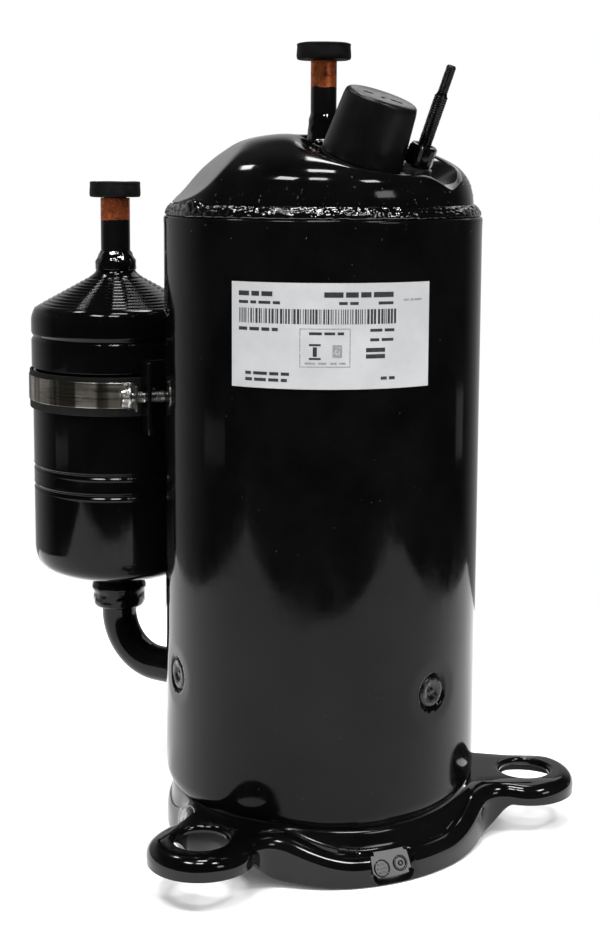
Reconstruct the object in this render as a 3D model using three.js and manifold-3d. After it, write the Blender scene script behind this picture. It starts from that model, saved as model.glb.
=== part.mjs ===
// Single-cylinder rolling-piston refrigeration compressor with its suction accumulator.
// Millimetres, +Z up. z = 0 is the lower edge of the base skirt.
import * as THREE from 'three';
import { mergeVertices } from 'three/addons/utils/BufferGeometryUtils.js';
import Module from 'manifold-3d';

const wasm = await Module();
wasm.setup();

// ---------------------------------------------------------------- driving dimensions
const FRAME_X = 11.3;            // shell axis, so that the origin is the middle of the whole footprint

const SHELL_R = 59;              // main shell outer radius
const SHELL_WALL = 3;
const SHELL_BOTTOM_Z = 14.7;
const SHELL_RIM_Z = 232.7;
const KNUCKLE_R = 10;            // rounded bottom corner

const CAP_R = 55.7;              // top cap fits inside the shell rim
const CAP_WALL = 3.2;
const CAP_SKIRT_Z = 214;
const CAP_LAND_Z = 259.4;        // level land round the discharge pipe

const TERM_BASE = new THREE.Vector3(13.5, -19.8, 251.7);      // centre of the sloping terminal land
const TERM_AXIS = new THREE.Vector3(0.325, -0.21, 1).normalize();
const STUD_OFFSET = 21.2;        // stud from the terminal centre, along the land

const PCD_R = 79.3;              // foot holes
const FOOT_R = 19;
const FOOT_HOLE_R = 9.55;
const FOOT_TOP_Z = 20;
const FOOT_SKIRT_Z = 12.3;
const RING_R = 66;               // base ring between the feet
const RING_TOP_Z = 10.5;
const NECK_FILLET_R = 10;
const BASE_EDGE_R = 5;
const BASE_WALL = 2.6;

const ACC_AZ = 151;              // accumulator bearing and distance from the shell axis
const ACC_DIST = 96.7;
const ACC_R = 33.9;
const SUCTION_Z = 47.5;
const SUCTION_R = 7.1;
const SUCTION_BEND = 20;

const BORE_R = 27.2;             // pump
const ECC = 4.8;
const ROLLER_R = 22;
const CYL_Z0 = 36;
const CYL_Z1 = 59;
const VANE_AZ = 120;
const SHAFT_R = 8;

const STATOR_Z0 = 124;           // motor
const STATOR_Z1 = 186;
const STATOR_R = 55.6;
const AIR_GAP_R = 30.3;
const SLOTS = 24;

const WELD_PLUG_AZ = [-153.8, -45.3, 80];
const WELD_PLUG_Z = 64;

// ---------------------------------------------------------------- helpers
const rad = (deg) => (deg * Math.PI) / 180;
const mix = (a, b, t) => a + (b - a) * t;
const ramp = (a, b, x) => {
  const t = Math.min(1, Math.max(0, (x - a) / (b - a)));
  return t * t * (3 - 2 * t);
};

// Keeps positions only, welds shared corners, drops slivers and turns the faces outward.
function tidy(geometry) {
  geometry.deleteAttribute('normal');
  geometry.deleteAttribute('uv');
  const welded = mergeVertices(geometry, 1e-4);
  const p = welded.attributes.position;
  const faces = [];
  const a = new THREE.Vector3();
  const b = new THREE.Vector3();
  const c = new THREE.Vector3();
  let volume = 0;
  for (let i = 0; i < welded.index.count; i += 3) {
    const f = [0, 1, 2].map((k) => welded.index.getX(i + k));
    if (f[0] === f[1] || f[1] === f[2] || f[2] === f[0]) continue;
    faces.push(f);
    a.fromBufferAttribute(p, f[0]);
    b.fromBufferAttribute(p, f[1]);
    c.fromBufferAttribute(p, f[2]);
    volume += a.dot(b.cross(c));
  }
  if (volume < 0) faces.forEach((f) => f.reverse());
  welded.setIndex(faces.flat());
  return welded;
}

// A body of revolution about Z. The profile is [radius, z] pairs, closed on itself or on the axis.
function turned(profile, segments = 24) {
  const pts = profile.map(([r, z]) => new THREE.Vector2(r, z));
  if (profile[0][0] > 0) pts.push(pts[0].clone());
  return tidy(new THREE.LatheGeometry(pts, segments).rotateX(Math.PI / 2));
}

const tube = (r0, r1, z0, z1, segments = 18) =>
  turned([[r0, z0], [r1, z0], [r1, z1], [r0, z1]], segments);

const rod = (r, z0, z1, segments = 16) => turned([[0, z0], [r, z0], [r, z1], [0, z1]], segments);

function plate(shape, z0, z1, curveSegments = 12) {
  const g = new THREE.ExtrudeGeometry(shape, { depth: z1 - z0, bevelEnabled: false, curveSegments });
  return tidy(g.translate(0, 0, z0));
}

function box(x0, x1, y0, y1, z0, z1) {
  const g = new THREE.BoxGeometry(x1 - x0, y1 - y0, z1 - z0);
  return tidy(g.translate((x0 + x1) / 2, (y0 + y1) / 2, (z0 + z1) / 2));
}

function solid(geometry) {
  const g = geometry.index ? geometry : tidy(geometry);
  const vertProperties = new Float32Array(g.attributes.position.array);
  const triVerts = new Uint32Array(g.index.array);
  return new wasm.Manifold(new wasm.Mesh({ numProp: 3, vertProperties, triVerts }));
}

function meshed(manifold) {
  const m = manifold.getMesh();
  const g = new THREE.BufferGeometry();
  g.setAttribute('position', new THREE.BufferAttribute(Float32Array.from(m.vertProperties), 3));
  g.setIndex(Array.from(m.triVerts));
  return g;
}

const cut = (body, ...tools) => meshed(tools.reduce((m, t) => m.subtract(solid(t)), solid(body)));
const join = (body, ...others) => meshed(others.reduce((m, t) => m.add(solid(t)), solid(body)));

// Lays a piece that was drawn along Z so that its Z points outward at a bearing and height.
function radial(geometry, az, z) {
  return geometry.rotateY(Math.PI / 2).rotateZ(rad(az)).translate(0, 0, z);
}

const at = (geometry, x, y, z = 0) => geometry.translate(x, y, z);
const polar = (r, az) => [r * Math.cos(rad(az)), r * Math.sin(rad(az))];

const material = (color, roughness, metalness) =>
  new THREE.MeshStandardMaterial({ color, roughness, metalness });
const gloss = () => material('#0c0c0d', 0.25, 0.1);
const steel = () => material('#8d8b86', 0.4, 0.9);
const iron = () => material('#5c5c5e', 0.6, 0.8);
const copper = () => material('#a8613d', 0.35, 0.9);
const rubber = () => material('#141414', 0.85, 0);
const plastic = () => material('#1d1d1f', 0.55, 0);

const compressor = new THREE.Group();
compressor.name = 'rotary_compressor';
compressor.position.x = FRAME_X;

function piece(name, geometry, mat, parent = compressor) {
  const mesh = new THREE.Mesh(geometry, mat);
  mesh.name = name;
  parent.add(mesh);
  return mesh;
}

// ---------------------------------------------------------------- housing
function knuckle(radius, centreR, centreZ, steps) {
  const pts = [];
  for (let i = 0; i <= steps; i += 1) {
    const t = rad(-90 + (90 * i) / steps);
    pts.push([centreR + radius * Math.cos(t), centreZ + radius * Math.sin(t)]);
  }
  return pts;
}

const kneeR = SHELL_R - KNUCKLE_R;
const kneeZ = SHELL_BOTTOM_Z + KNUCKLE_R;
const shellBody = turned([
  [0, SHELL_BOTTOM_Z],
  ...knuckle(KNUCKLE_R, kneeR, kneeZ, 4),
  [SHELL_R, SHELL_RIM_Z],
  [SHELL_R - SHELL_WALL, SHELL_RIM_Z],
  ...knuckle(KNUCKLE_R - SHELL_WALL, kneeR, kneeZ, 3).reverse(),
  [0, SHELL_BOTTOM_Z + SHELL_WALL],
], 40);
piece('main_shell', cut(
  shellBody,
  radial(rod(SUCTION_R + 0.4, 50, 64), ACC_AZ, SUCTION_Z),
  ...WELD_PLUG_AZ.map((az) => radial(rod(6.2, 50, 64, 12), az, WELD_PLUG_Z)),
), gloss());

WELD_PLUG_AZ.forEach((az, i) => {
  const weld = turned([
    [0, 56.4], [5.9, 56.4], [5.9, 58.5], [4.4, 58.2], [1.7, 57.6], [1.2, 58.2], [0, 58.3],
  ], 12);
  piece(`plug_weld_${i + 1}`, radial(weld, az, WELD_PLUG_Z), iron());
});

const softMin = (a, b, k) => (a + b - Math.hypot(a - b, k)) / 2;

// How much of the front wall, and of the rear one, stands at a place beside the terminal land, 0 to 1.
const bearingFromTerm = (x, y) => (Math.atan2(y - TERM_BASE.y, x - TERM_BASE.x) * 180) / Math.PI;
const walledAt = (x, y) => 1 - ramp(75, 100, Math.abs(((bearingFromTerm(x, y) + 655) % 360) - 180));
function backedAt(x, y) {
  const az = bearingFromTerm(x, y);
  return ramp(-25, 15, az) * (1 - ramp(100, 130, az));
}

// Height of the sloping terminal land. It eases off towards the rim, past the cover, and rises to a wall in front
// of the cover and to another behind the stud.
function terminalLand(x, y) {
  const slope = Math.hypot(TERM_AXIS.x, TERM_AXIS.y) / TERM_AXIS.z;
  const dx = x - TERM_BASE.x;
  const dy = y - TERM_BASE.y;
  const down = (TERM_AXIS.x * dx + TERM_AXIS.y * dy) / Math.hypot(TERM_AXIS.x, TERM_AXIS.y);
  const past = down - 17;
  const reach = Math.hypot(dx, dy) - 17;
  const beyond = Math.hypot(dx, dy) - 28;
  const wall = 0.27 * walledAt(x, y) * (reach + Math.hypot(reach, 2))
    + 0.35 * backedAt(x, y) * (beyond + Math.hypot(beyond, 2));
  return TERM_BASE.z - slope * (down - 0.275 * (past + Math.hypot(past, 3))) + wall;
}

// Height of the side that is pressed in, opposite the terminal: one section, run straight across.
const SIDE_AZ = -167;
const SIDE_SECTION = [
  [0, 263.4], [14, 263.1], [20.7, 262.4], [29.2, 260.3], [35.2, 255.9], [41, 250.4], [44.5, 246.6],
  [47.5, 243.3], [51, 240.3], [56, 237.3],
];
function pressedSide(x, y) {
  const d = Math.max(0, x * Math.cos(rad(SIDE_AZ)) + y * Math.sin(rad(SIDE_AZ)));
  const i = Math.max(1, SIDE_SECTION.findIndex(([at]) => at >= d));
  const [d0, z0] = SIDE_SECTION[i - 1];
  const [d1, z1] = SIDE_SECTION[i];
  return mix(z0, z1, (d - d0) / (d1 - d0));
}

const DOME = [
  [0, 263.3], [8.5, 263.3], [12.5, 263.3], [17, 263.1], [24, 262.3], [31, 260.5], [38, 257.6],
  [44.5, 254.4], [50, 250.6], [53.6, 246.2], [55.2, 241.4], [CAP_R, 237], [CAP_R, CAP_SKIRT_Z],
];
const DOME_INSIDE = [
  [CAP_R - CAP_WALL, CAP_SKIRT_Z], [CAP_R - CAP_WALL, 236.6], [50.9, 242.6], [46, 248.4],
  [36, 254.1], [24, 258.4], [9, 260], [0, 260],
];
const capGeometry = new THREE.LatheGeometry(
  [...DOME, ...DOME_INSIDE].map(([r, z]) => new THREE.Vector2(r, z)), 48,
).rotateX(Math.PI / 2);
const capPos = capGeometry.attributes.position;
const capRows = DOME.length + DOME_INSIDE.length;
for (let i = 0; i < capPos.count; i += 1) {
  const inside = i % capRows >= DOME.length;
  const x = capPos.getX(i);
  const y = capPos.getY(i);
  let z = capPos.getZ(i);
  const r = Math.hypot(x, y);
  if (z > 236) {
    const drop = inside ? CAP_WALL : 0;
    z = softMin(z, mix(CAP_LAND_Z, 266, ramp(8.4, 16.5, r)) - drop, 1);
    z = softMin(z, terminalLand(x, y) - drop * 1.07, mix(1.4, 3, walledAt(x, y)));
    z = softMin(z, pressedSide(x, y) - drop * 1.25, 1.2);
    capPos.setZ(i, z);
  }
}

const terminal = new THREE.Group();
terminal.position.copy(TERM_BASE);
terminal.quaternion.setFromUnitVectors(new THREE.Vector3(0, 0, 1), TERM_AXIS);
compressor.add(terminal);
terminal.updateMatrix();
const onLand = (geometry) => geometry.applyMatrix4(terminal.matrix);

piece('top_cap', cut(
  tidy(capGeometry),
  rod(5.15, 240, 280, 12),
  onLand(rod(11.2, -14, 14, 16)),
), gloss());

piece('upper_weld_bead', turned([
  [56.15, 233.05], [58.9, 233.05], [58.7, 234.5], [57.4, 236.4], [56.15, 237.3],
], 36), gloss());

// ---------------------------------------------------------------- mounting base
// One sector's outline from the middle of a foot to the middle of the ring: points and outward normals.
function halfSector() {
  const reach = RING_R + NECK_FILLET_R;
  const arm = FOOT_R + NECK_FILLET_R;
  const phi = Math.acos((PCD_R ** 2 + reach ** 2 - arm ** 2) / (2 * PCD_R * reach));
  const cx = reach * Math.cos(phi);
  const cy = reach * Math.sin(phi);
  const toFillet = Math.atan2(cy, cx - PCD_R);
  const out = [];
  for (let i = 0; i < 5; i += 1) {
    const t = (toFillet * i) / 5;
    out.push([PCD_R + FOOT_R * Math.cos(t), FOOT_R * Math.sin(t), Math.cos(t), Math.sin(t)]);
  }
  const t0 = toFillet - Math.PI;
  const t1 = phi - Math.PI;
  for (let i = 0; i < 2; i += 1) {
    const t = mix(t0, t1, i / 2);
    out.push([
      cx + NECK_FILLET_R * Math.cos(t), cy + NECK_FILLET_R * Math.sin(t), -Math.cos(t), -Math.sin(t),
    ]);
  }
  for (let i = 0; i <= 4; i += 1) {
    const t = mix(phi, Math.PI / 3, i / 4);
    out.push([RING_R * Math.cos(t), RING_R * Math.sin(t), Math.cos(t), Math.sin(t)]);
  }
  return out;
}

function baseOutline() {
  const half = halfSector();
  const mirrored = half.slice(1, -1).map(([x, y, nx, ny]) => [x, -y, nx, -ny]).reverse();
  const out = [];
  for (let k = 0; k < 3; k += 1) {
    const c = Math.cos((k * 2 * Math.PI) / 3);
    const s = Math.sin((k * 2 * Math.PI) / 3);
    for (const [x, y, nx, ny] of [...mirrored, ...half]) {
      out.push([x * c - y * s, x * s + y * c, nx * c - ny * s, nx * s + ny * c]);
    }
  }
  return out;
}

// 1 on a foot, 0 on the ring half-way between two feet.
function footness(x, y) {
  let best = 0;
  for (let k = 0; k < 3; k += 1) {
    const c = Math.cos((k * 2 * Math.PI) / 3);
    const s = Math.sin((k * 2 * Math.PI) / 3);
    if (x * c + y * s > 0) best = Math.max(best, ramp(46, 13, Math.abs(y * c - x * s)));
  }
  return best;
}

// Section rows: [how the point is placed, value on the ring, value on a foot, drop below the top].
const outline = baseOutline();
const BASE_ROWS = 15;
const baseProfile = Array.from({ length: BASE_ROWS }, (_, j) => new THREE.Vector2(50 + j, j));
baseProfile.push(baseProfile[0].clone());
const baseGeometry = new THREE.LatheGeometry(baseProfile, outline.length);
const basePos = baseGeometry.attributes.position;

// The ring is cut back close to the shell on the accumulator's side, midway between two feet.
const CUT_BACK_R = 56.5;
function cutBack([x, y, z], inner) {
  const r = Math.hypot(x, y);
  const fromBack = 180 - (Math.abs(Math.atan2(y, x)) * 180) / Math.PI;
  const keep = mix(inner ? 0.06 : 0.24, 1, ramp(26, 46, fromBack));
  const scale = (CUT_BACK_R + Math.max(r - CUT_BACK_R, 0) * keep) / r;
  return [x * scale, y * scale, z];
}

function basePoint(column, row) {
  const [px, py, nx, ny] = outline[column % outline.length];
  const polarLen = Math.hypot(px, py);
  const ux = px / polarLen;
  const uy = py / polarLen;
  const onRay = (ringR, footR, ringZ, footZ, drop) => {
    const s = footness(ux * ringR, uy * ringR);
    const r = mix(ringR, footR, s);
    return [ux * r, uy * r, mix(ringZ, footZ, s) - drop];
  };
  const onEdge = (inset, down, bottom) => {
    const x = px - nx * inset;
    const y = py - ny * inset;
    const s = footness(px, py);
    const z = bottom ? mix(0, FOOT_SKIRT_Z, s) : mix(RING_TOP_Z, FOOT_TOP_Z, s) - down;
    return [x, y, z];
  };
  const e = BASE_EDGE_R;
  const w = BASE_WALL;
  switch (row) {
    case 0: return onRay(56.5, 58.7, 17.2, FOOT_TOP_Z, 0);
    case 1: return onRay(57.5, 59.4, 16.4, FOOT_TOP_Z, 0);
    case 2: return onRay(58.3, 60.0, 14.2, FOOT_TOP_Z, 0);
    case 3: return onRay(59.3, 60.7, 11.8, FOOT_TOP_Z, 0);
    case 4: return onRay(60.4, 61.5, 10.7, FOOT_TOP_Z, 0);
    case 5: return onEdge(e, 0, false);
    case 6: return onEdge(e * 0.293, e * 0.293, false);
    case 7: return onEdge(0, e, false);
    case 8: return onEdge(0, 0, true);
    case 9: return onEdge(w, 0, true);
    case 10: return onEdge(w, e, false);
    case 11: return onEdge(e, w, false);
    case 12: return onRay(60.0, 61.5, 10.7, FOOT_TOP_Z, w);
    case 13: return onRay(58.2, 60.0, 9.6, FOOT_TOP_Z - w, 0);
    default: return onRay(56.5, 58.7, 9.6, FOOT_TOP_Z - w, 0);
  }
}
for (let i = 0; i < basePos.count; i += 1) {
  const column = Math.floor(i / (BASE_ROWS + 1));
  const row = (i % (BASE_ROWS + 1)) % BASE_ROWS;
  basePos.setXYZ(i, ...cutBack(basePoint(column, row), row > 8));
}
piece('mount_base', cut(
  tidy(baseGeometry),
  ...[0, 120, 240].map((az) => at(rod(FOOT_HOLE_R, 5, 30, 24), ...polar(PCD_R, az))),
), gloss());

// ---------------------------------------------------------------- discharge line
piece('discharge_pipe', tube(3.8, 4.8, 236, 289.2, 16), copper());
piece('discharge_collar', turned([
  [5.15, 259.9], [6.4, 259.9], [6.4, 267.6], [5.6, 269.5], [5.15, 269.5],
], 14), gloss());
piece('discharge_plug', turned([
  [0, 275], [3.4, 275], [3.4, 289.5], [10.1, 289.5], [10.1, 294.7], [9.3, 295.6], [0, 295.6],
], 18), rubber());

// ---------------------------------------------------------------- accumulator
const [ACC_X, ACC_Y] = polar(ACC_DIST, ACC_AZ);
const accumulator = new THREE.Group();
accumulator.position.set(ACC_X, ACC_Y, 0);
compressor.add(accumulator);
const onAcc = (name, geometry, mat) => piece(name, geometry, mat, accumulator);

onAcc('accumulator_upper_shell', turned([
  [34.3, 170.2], [34.3, 181.4], [33.6, 182.6], [34.3, 183.8], [34.3, 190.8], [33.4, 193], [31.6, 194.5],
  [10, 206.4], [7.3, 207.6], [7.3, 209], [6.2, 209], [6.2, 206.6], [9.4, 204.8], [31, 192.9],
  [32.8, 190.5], [32.8, 170.2],
], 28), gloss());
onAcc('accumulator_lower_shell', turned([
  [32.4, 177.5], [32.4, 169.8], [ACC_R, 168.8], [ACC_R, 131], [33.2, 129.8], [ACC_R, 128.6],
  [ACC_R, 123.1], [33.2, 121.9], [ACC_R, 120.7], [ACC_R, 96], [33, 91.2], [30, 87.6],
  [24, 85.1], [9, 81.2], [9, 79.9],
  [7.6, 79.9], [7.6, 82.4], [24, 86.7], [31, 91], [32.4, 96],
  [32.4, 168], [30.9, 169.2], [30.9, 177.5],
], 28), gloss());
onAcc('inlet_pipe', tube(4.9, 5.9, 196, 237.9, 16), copper());
onAcc('inlet_collar', turned([
  [6.25, 209.3], [8, 209.3], [8, 213.8], [7, 214.9], [6.25, 214.9],
], 14), gloss());
onAcc('inlet_plug', turned([
  [0, 224], [4.5, 224], [4.5, 238.2], [10.3, 238.2], [10.3, 243.7], [9.5, 244.6], [0, 244.6],
], 18), rubber());
onAcc('accumulator_neck_collar', turned([
  [7.5, 70], [10.3, 70], [10.3, 78], [9.4, 79.4], [7.5, 79.4],
], 16), gloss());
onAcc('accumulator_screen', turned([
  [0, 186.3], [29, 184.4], [30.2, 180.6], [32.3, 180.6], [32.3, 179.4], [29.4, 179.4],
  [28.2, 183.4], [0, 185.3],
], 20), steel());
const bafflePorts = [0, 1, 2, 3, 4, 5].map((i) => at(rod(4, 130, 150, 6), ...polar(20, i * 60)));
onAcc('accumulator_baffle', cut(turned([
  [7.6, 139], [32, 139], [32, 140.2], [7.6, 140.2],
], 18), ...bafflePorts), steel());

// The tube stands inside the accumulator, leaves by its bottom, turns and runs on into the cylinder.
const inward = new THREE.Vector3(-Math.cos(rad(ACC_AZ)), -Math.sin(rad(ACC_AZ)), 0);
const tubeTop = new THREE.Vector3(ACC_X, ACC_Y, 176);
const route = [tubeTop.clone(), new THREE.Vector3(ACC_X, ACC_Y, 120), new THREE.Vector3(ACC_X, ACC_Y, 80)];
for (let i = 0; i <= 8; i += 1) {
  const t = rad((90 * i) / 8);
  const p = new THREE.Vector3(ACC_X, ACC_Y, SUCTION_Z + SUCTION_BEND * (1 - Math.sin(t)));
  route.push(p.addScaledVector(inward, SUCTION_BEND * (1 - Math.cos(t))));
}
route.push(new THREE.Vector3(...polar(58, ACC_AZ), SUCTION_Z));
route.push(new THREE.Vector3(...polar(40, ACC_AZ), SUCTION_Z));
const ring = new THREE.Shape().absarc(0, 0, SUCTION_R, 0, 2 * Math.PI, false);
ring.holes.push(new THREE.Path().absarc(0, 0, SUCTION_R - 1.3, 0, 2 * Math.PI, true));
piece('suction_tube', tidy(new THREE.ExtrudeGeometry(ring, {
  steps: 24,
  curveSegments: 4,
  bevelEnabled: false,
  extrudePath: new THREE.CatmullRomCurve3(route, false, 'centripetal'),
})), gloss());
piece('suction_collar', cut(
  radial(turned([[7.55, 55], [10.4, 55], [10.4, 60.5], [9.2, 62.5], [8.9, 66], [7.55, 66]], 18),
    ACC_AZ, SUCTION_Z),
  rod(SHELL_R + 0.35, 20, 80, 90),
), gloss());

// ---------------------------------------------------------------- strap, bracket and screw
const EAR_AZ = -69;              // bearings seen from the accumulator axis
const HOOK_AZ = 17;
const STRAP_Z = 162.3;
onAcc('strap_pad', tube(34.25, 35.15, 154, 169.2, 28), rubber());

// Plan outline of a band between two radii over an arc, with a square tab turned out at each end.
function band(r0, r1, from, to, tabOut, tabThick, tabSide) {
  const n = Math.ceil(Math.abs(to - from) / 9);
  const inner = [];
  const outer = [];
  for (let i = 0; i <= n; i += 1) {
    const a = mix(from, to, i / n);
    inner.push(new THREE.Vector2(...polar(r0, a)));
    outer.push(new THREE.Vector2(...polar(r1, a)));
  }
  const tab = (az, side) => {
    const t = new THREE.Vector2(-Math.sin(rad(az)), Math.cos(rad(az))).multiplyScalar(side * tabThick);
    const root = new THREE.Vector2(...polar(r1 - 0.1, az));
    const tip = new THREE.Vector2(...polar(tabOut, az));
    return [tip, tip.clone().add(t), root.clone().add(t)];
  };
  outer.splice(0, 1);
  outer.splice(outer.length - 1, 1);
  const pts = [...inner, ...tab(to, -tabSide).slice(0, 1), ...tab(to, -tabSide).slice(1)];
  pts.push(...outer.reverse());
  const start = tab(from, tabSide);
  pts.push(start[2], start[1], start[0]);
  return new THREE.Shape(pts);
}
const strapFrom = EAR_AZ - 3;
const strapTo = HOOK_AZ - 357;
const screwAxis = (geometry) => geometry
  .rotateX(-Math.PI / 2)
  .translate(40.6, 0, STRAP_Z)
  .rotateZ(rad(EAR_AZ));
onAcc('strap', cut(
  plate(band(35.5, 36.3, strapFrom, strapTo, 45, 1, -1), STRAP_Z - 5, STRAP_Z + 5),
  screwAxis(rod(2.7, -12, 12)),
), steel());
onAcc('strap_bracket', cut(
  plate(band(35.55, 37.2, EAR_AZ, HOOK_AZ, 46, 1.8, 1), 148, 176),
  screwAxis(rod(2.7, -12, 12)),
), gloss());
onAcc('strap_screw', screwAxis(turned([
  [0, -7.6], [4, -7.6], [4, -4.2], [2.3, -4.2], [2.3, 9], [1.8, 9.6], [0, 9.6],
], 12)), steel());

// ---------------------------------------------------------------- terminal, cover and stud
const onTerm = (name, geometry, mat) => piece(name, geometry, mat, terminal);
const pinPlaces = [90, 210, 330].map((az) => polar(4.8, az));
onTerm('terminal_body', cut(
  turned([[0, -4.4], [10.9, -4.4], [10.9, 1], [9.8, 2], [0, 2]], 20),
  ...pinPlaces.map((p) => at(rod(1.5, -10, 10, 8), ...p)),
), iron());
pinPlaces.forEach((p, i) => onTerm(`terminal_pin_${i + 1}`, at(rod(1.15, -5.6, 14, 8), ...p), copper()));
onTerm('terminal_connector', rod(8.6, -16, -6, 20), plastic());

const studWay = new THREE.Vector3(19, 7, 0);
studWay.z = terminalLand(TERM_BASE.x + 19, TERM_BASE.y + 7) - TERM_BASE.z;
studWay.applyQuaternion(terminal.quaternion.clone().invert());
const studAz = THREE.MathUtils.radToDeg(Math.atan2(studWay.y, studWay.x));
const [STUD_X, STUD_Y] = polar(STUD_OFFSET, studAz);

onTerm('cover_gasket', tube(12.9, 14.8, 0.4, 1.5, 24), rubber());
const coverCup = turned([
  [0, 25.4], [11.7, 25.4], [12.9, 24.8], [13.4, 23.6], [15, 1.8], [13.2, 1.8], [11.6, 23.4],
  [0, 23.4],
], 24);
const earShape = new THREE.Shape();
earShape.moveTo(14, -5.4);
earShape.lineTo(STUD_OFFSET, -5.4);
earShape.absarc(STUD_OFFSET, 0, 5.4, -Math.PI / 2, Math.PI / 2, false);
earShape.lineTo(14, 5.4);
earShape.lineTo(14, -5.4);
const ear = plate(earShape, 1.8, 4.3, 8).rotateZ(rad(studAz));
onTerm('terminal_cover', cut(join(coverCup, ear), at(rod(3.1, 0, 8, 12), STUD_X, STUD_Y)), plastic());
onTerm('cover_stud', at(turned([
  [0, 0.5], [3, 0.5], [3, 1.2], [2.45, 1.8], [2.45, 30.6], [1.75, 31.6], [1.75, 41.6], [0, 42.2],
], 16), STUD_X, STUD_Y), gloss());
const hex = new THREE.Shape([0, 1, 2, 3, 4, 5].map((i) => new THREE.Vector2(...polar(5.5, i * 60))));
hex.holes.push(new THREE.Path().absarc(0, 0, 2.8, 0, 2 * Math.PI, true));
const nut = plate(hex, 4.7, 12.4, 6).rotateZ(rad(studAz + 30));
onTerm('cover_nut', at(nut, STUD_X, STUD_Y), gloss());

// ---------------------------------------------------------------- name label
const labelShape = new THREE.Shape();
labelShape.absarc(0, 0, 59.75, rad(-120.4), rad(-51), false);
labelShape.absarc(0, 0, 59.3, rad(-51), rad(-120.4), true);
labelShape.closePath();
piece('name_label', plate(labelShape, 175.5, 211.6, 14), material('#c9cbcc', 0.45, 0.1));

// ---------------------------------------------------------------- motor
function statorPlan() {
  const shape = new THREE.Shape().absarc(0, 0, STATOR_R, 0, 2 * Math.PI, false);
  const bore = [];
  for (let i = 0; i < SLOTS; i += 1) {
    const a = (360 * i) / SLOTS;
    const half = 360 / SLOTS / 2;
    bore.push(polar(AIR_GAP_R, a - half), polar(AIR_GAP_R, a - 3.2), polar(34, a - 3.6));
    bore.push(polar(45, a - 4), polar(45, a + 4), polar(34, a + 3.6), polar(AIR_GAP_R, a + 3.2));
  }
  shape.holes.push(new THREE.Path(bore.reverse().map((p) => new THREE.Vector2(...p))));
  return shape;
}
piece('stator_core', plate(statorPlan(), STATOR_Z0, STATOR_Z1, 18), iron());
const coilSides = Array.from({ length: SLOTS }, (_, i) =>
  box(34.6, 44.5, -1.75, 1.75, STATOR_Z0 - 4, STATOR_Z1 + 4).rotateZ(rad((360 * i) / SLOTS)));
piece('stator_winding', join(
  turned([[33, 110], [36, 106], [46, 106], [50.5, 110], [50.5, 119], [47, 123.6], [34.2, 123.6],
    [33, 120]], 20),
  turned([[34.2, 186.4], [47, 186.4], [50.5, 191], [50.5, 199], [46, 204], [36, 204], [33, 200],
    [33, 189]], 20),
  ...coilSides,
), copper());

piece('rotor_core', tube(SHAFT_R + 0.3, 29.7, 126, 184, 24), iron());
const aluminium = () => material('#b9bcc0', 0.4, 0.9);
piece('rotor_ring_lower', tube(20, 29, 122, 125.7, 16), aluminium());
piece('rotor_ring_upper', tube(20, 29, 184.3, 188, 16), aluminium());
function weight(z0, z1, from) {
  const shape = new THREE.Shape();
  shape.absarc(0, 0, 28, rad(from), rad(from + 170), false);
  shape.absarc(0, 0, 16.5, rad(from + 170), rad(from), true);
  shape.closePath();
  return plate(shape, z0, z1, 8);
}
piece('balance_weight_lower', weight(112, 121.7, VANE_AZ - 85), material('#b08d4c', 0.4, 0.9));
piece('balance_weight_upper', weight(188.3, 197, VANE_AZ + 95), material('#b08d4c', 0.4, 0.9));

const [ECC_X, ECC_Y] = polar(ECC, VANE_AZ);
piece('crankshaft', cut(
  join(rod(SHAFT_R, 21.3, 180, 20), at(rod(14.4, CYL_Z0 + 0.8, CYL_Z1 - 0.8, 24), ECC_X, ECC_Y)),
  rod(3, 10, 110, 10),
), steel());
const paddle = new THREE.BoxGeometry(5, 0.8, 60, 1, 1, 12);
const paddlePos = paddle.attributes.position;
for (let i = 0; i < paddlePos.count; i += 1) {
  const turn = (paddlePos.getZ(i) / 60) * Math.PI * 1.5;
  const x = paddlePos.getX(i);
  const y = paddlePos.getY(i);
  paddlePos.setX(i, x * Math.cos(turn) - y * Math.sin(turn));
  paddlePos.setY(i, x * Math.sin(turn) + y * Math.cos(turn));
}
piece('oil_paddle', tidy(paddle.translate(0, 0, 55)), steel());

// ---------------------------------------------------------------- pump
const screwPlaces = [30, 90, 210, 300].map((az) => polar(33.5, az));
const oilReturns = [0, 60, 180, 240].map((az) => at(rod(5, 50, 80, 8), ...polar(47, az)));
const portAt = [-6, 25.6];
piece('main_bearing', cut(
  turned([
    [SHAFT_R + 0.3, CYL_Z1 + 0.3], [55.7, CYL_Z1 + 0.3], [55.7, 69.5], [15, 69.5], [15, 102],
    [14, 103], [SHAFT_R + 0.3, 103],
  ], 30),
  ...oilReturns,
  ...screwPlaces.map((p) => at(rod(2.8, 50, 66.5, 8), ...p)),
  at(rod(3, 50, 80, 10), ...portAt),
), iron());
piece('cylinder', cut(
  turned([[BORE_R, CYL_Z0], [54.5, CYL_Z0], [54.5, CYL_Z1], [BORE_R, CYL_Z1]], 32),
  ...oilReturns.map((g) => g.translate(0, 0, -25)),
  ...screwPlaces.map((p) => at(rod(2.8, 30, 66, 8), ...p)),
  box(24, 45, -1.8, 1.8, 30, 65).rotateZ(rad(VANE_AZ)),
  radial(rod(4.4, 42.5, 60, 14), VANE_AZ, (CYL_Z0 + CYL_Z1) / 2),
  radial(rod(SUCTION_R + 0.5, 39.6, 60, 16), ACC_AZ, SUCTION_Z),
  radial(rod(5.4, 20, 42, 12), ACC_AZ, SUCTION_Z),
), iron());
piece('roller', at(tube(14.75, ROLLER_R, CYL_Z0 + 0.35, CYL_Z1 - 0.35, 28), ECC_X, ECC_Y), steel());
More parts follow.
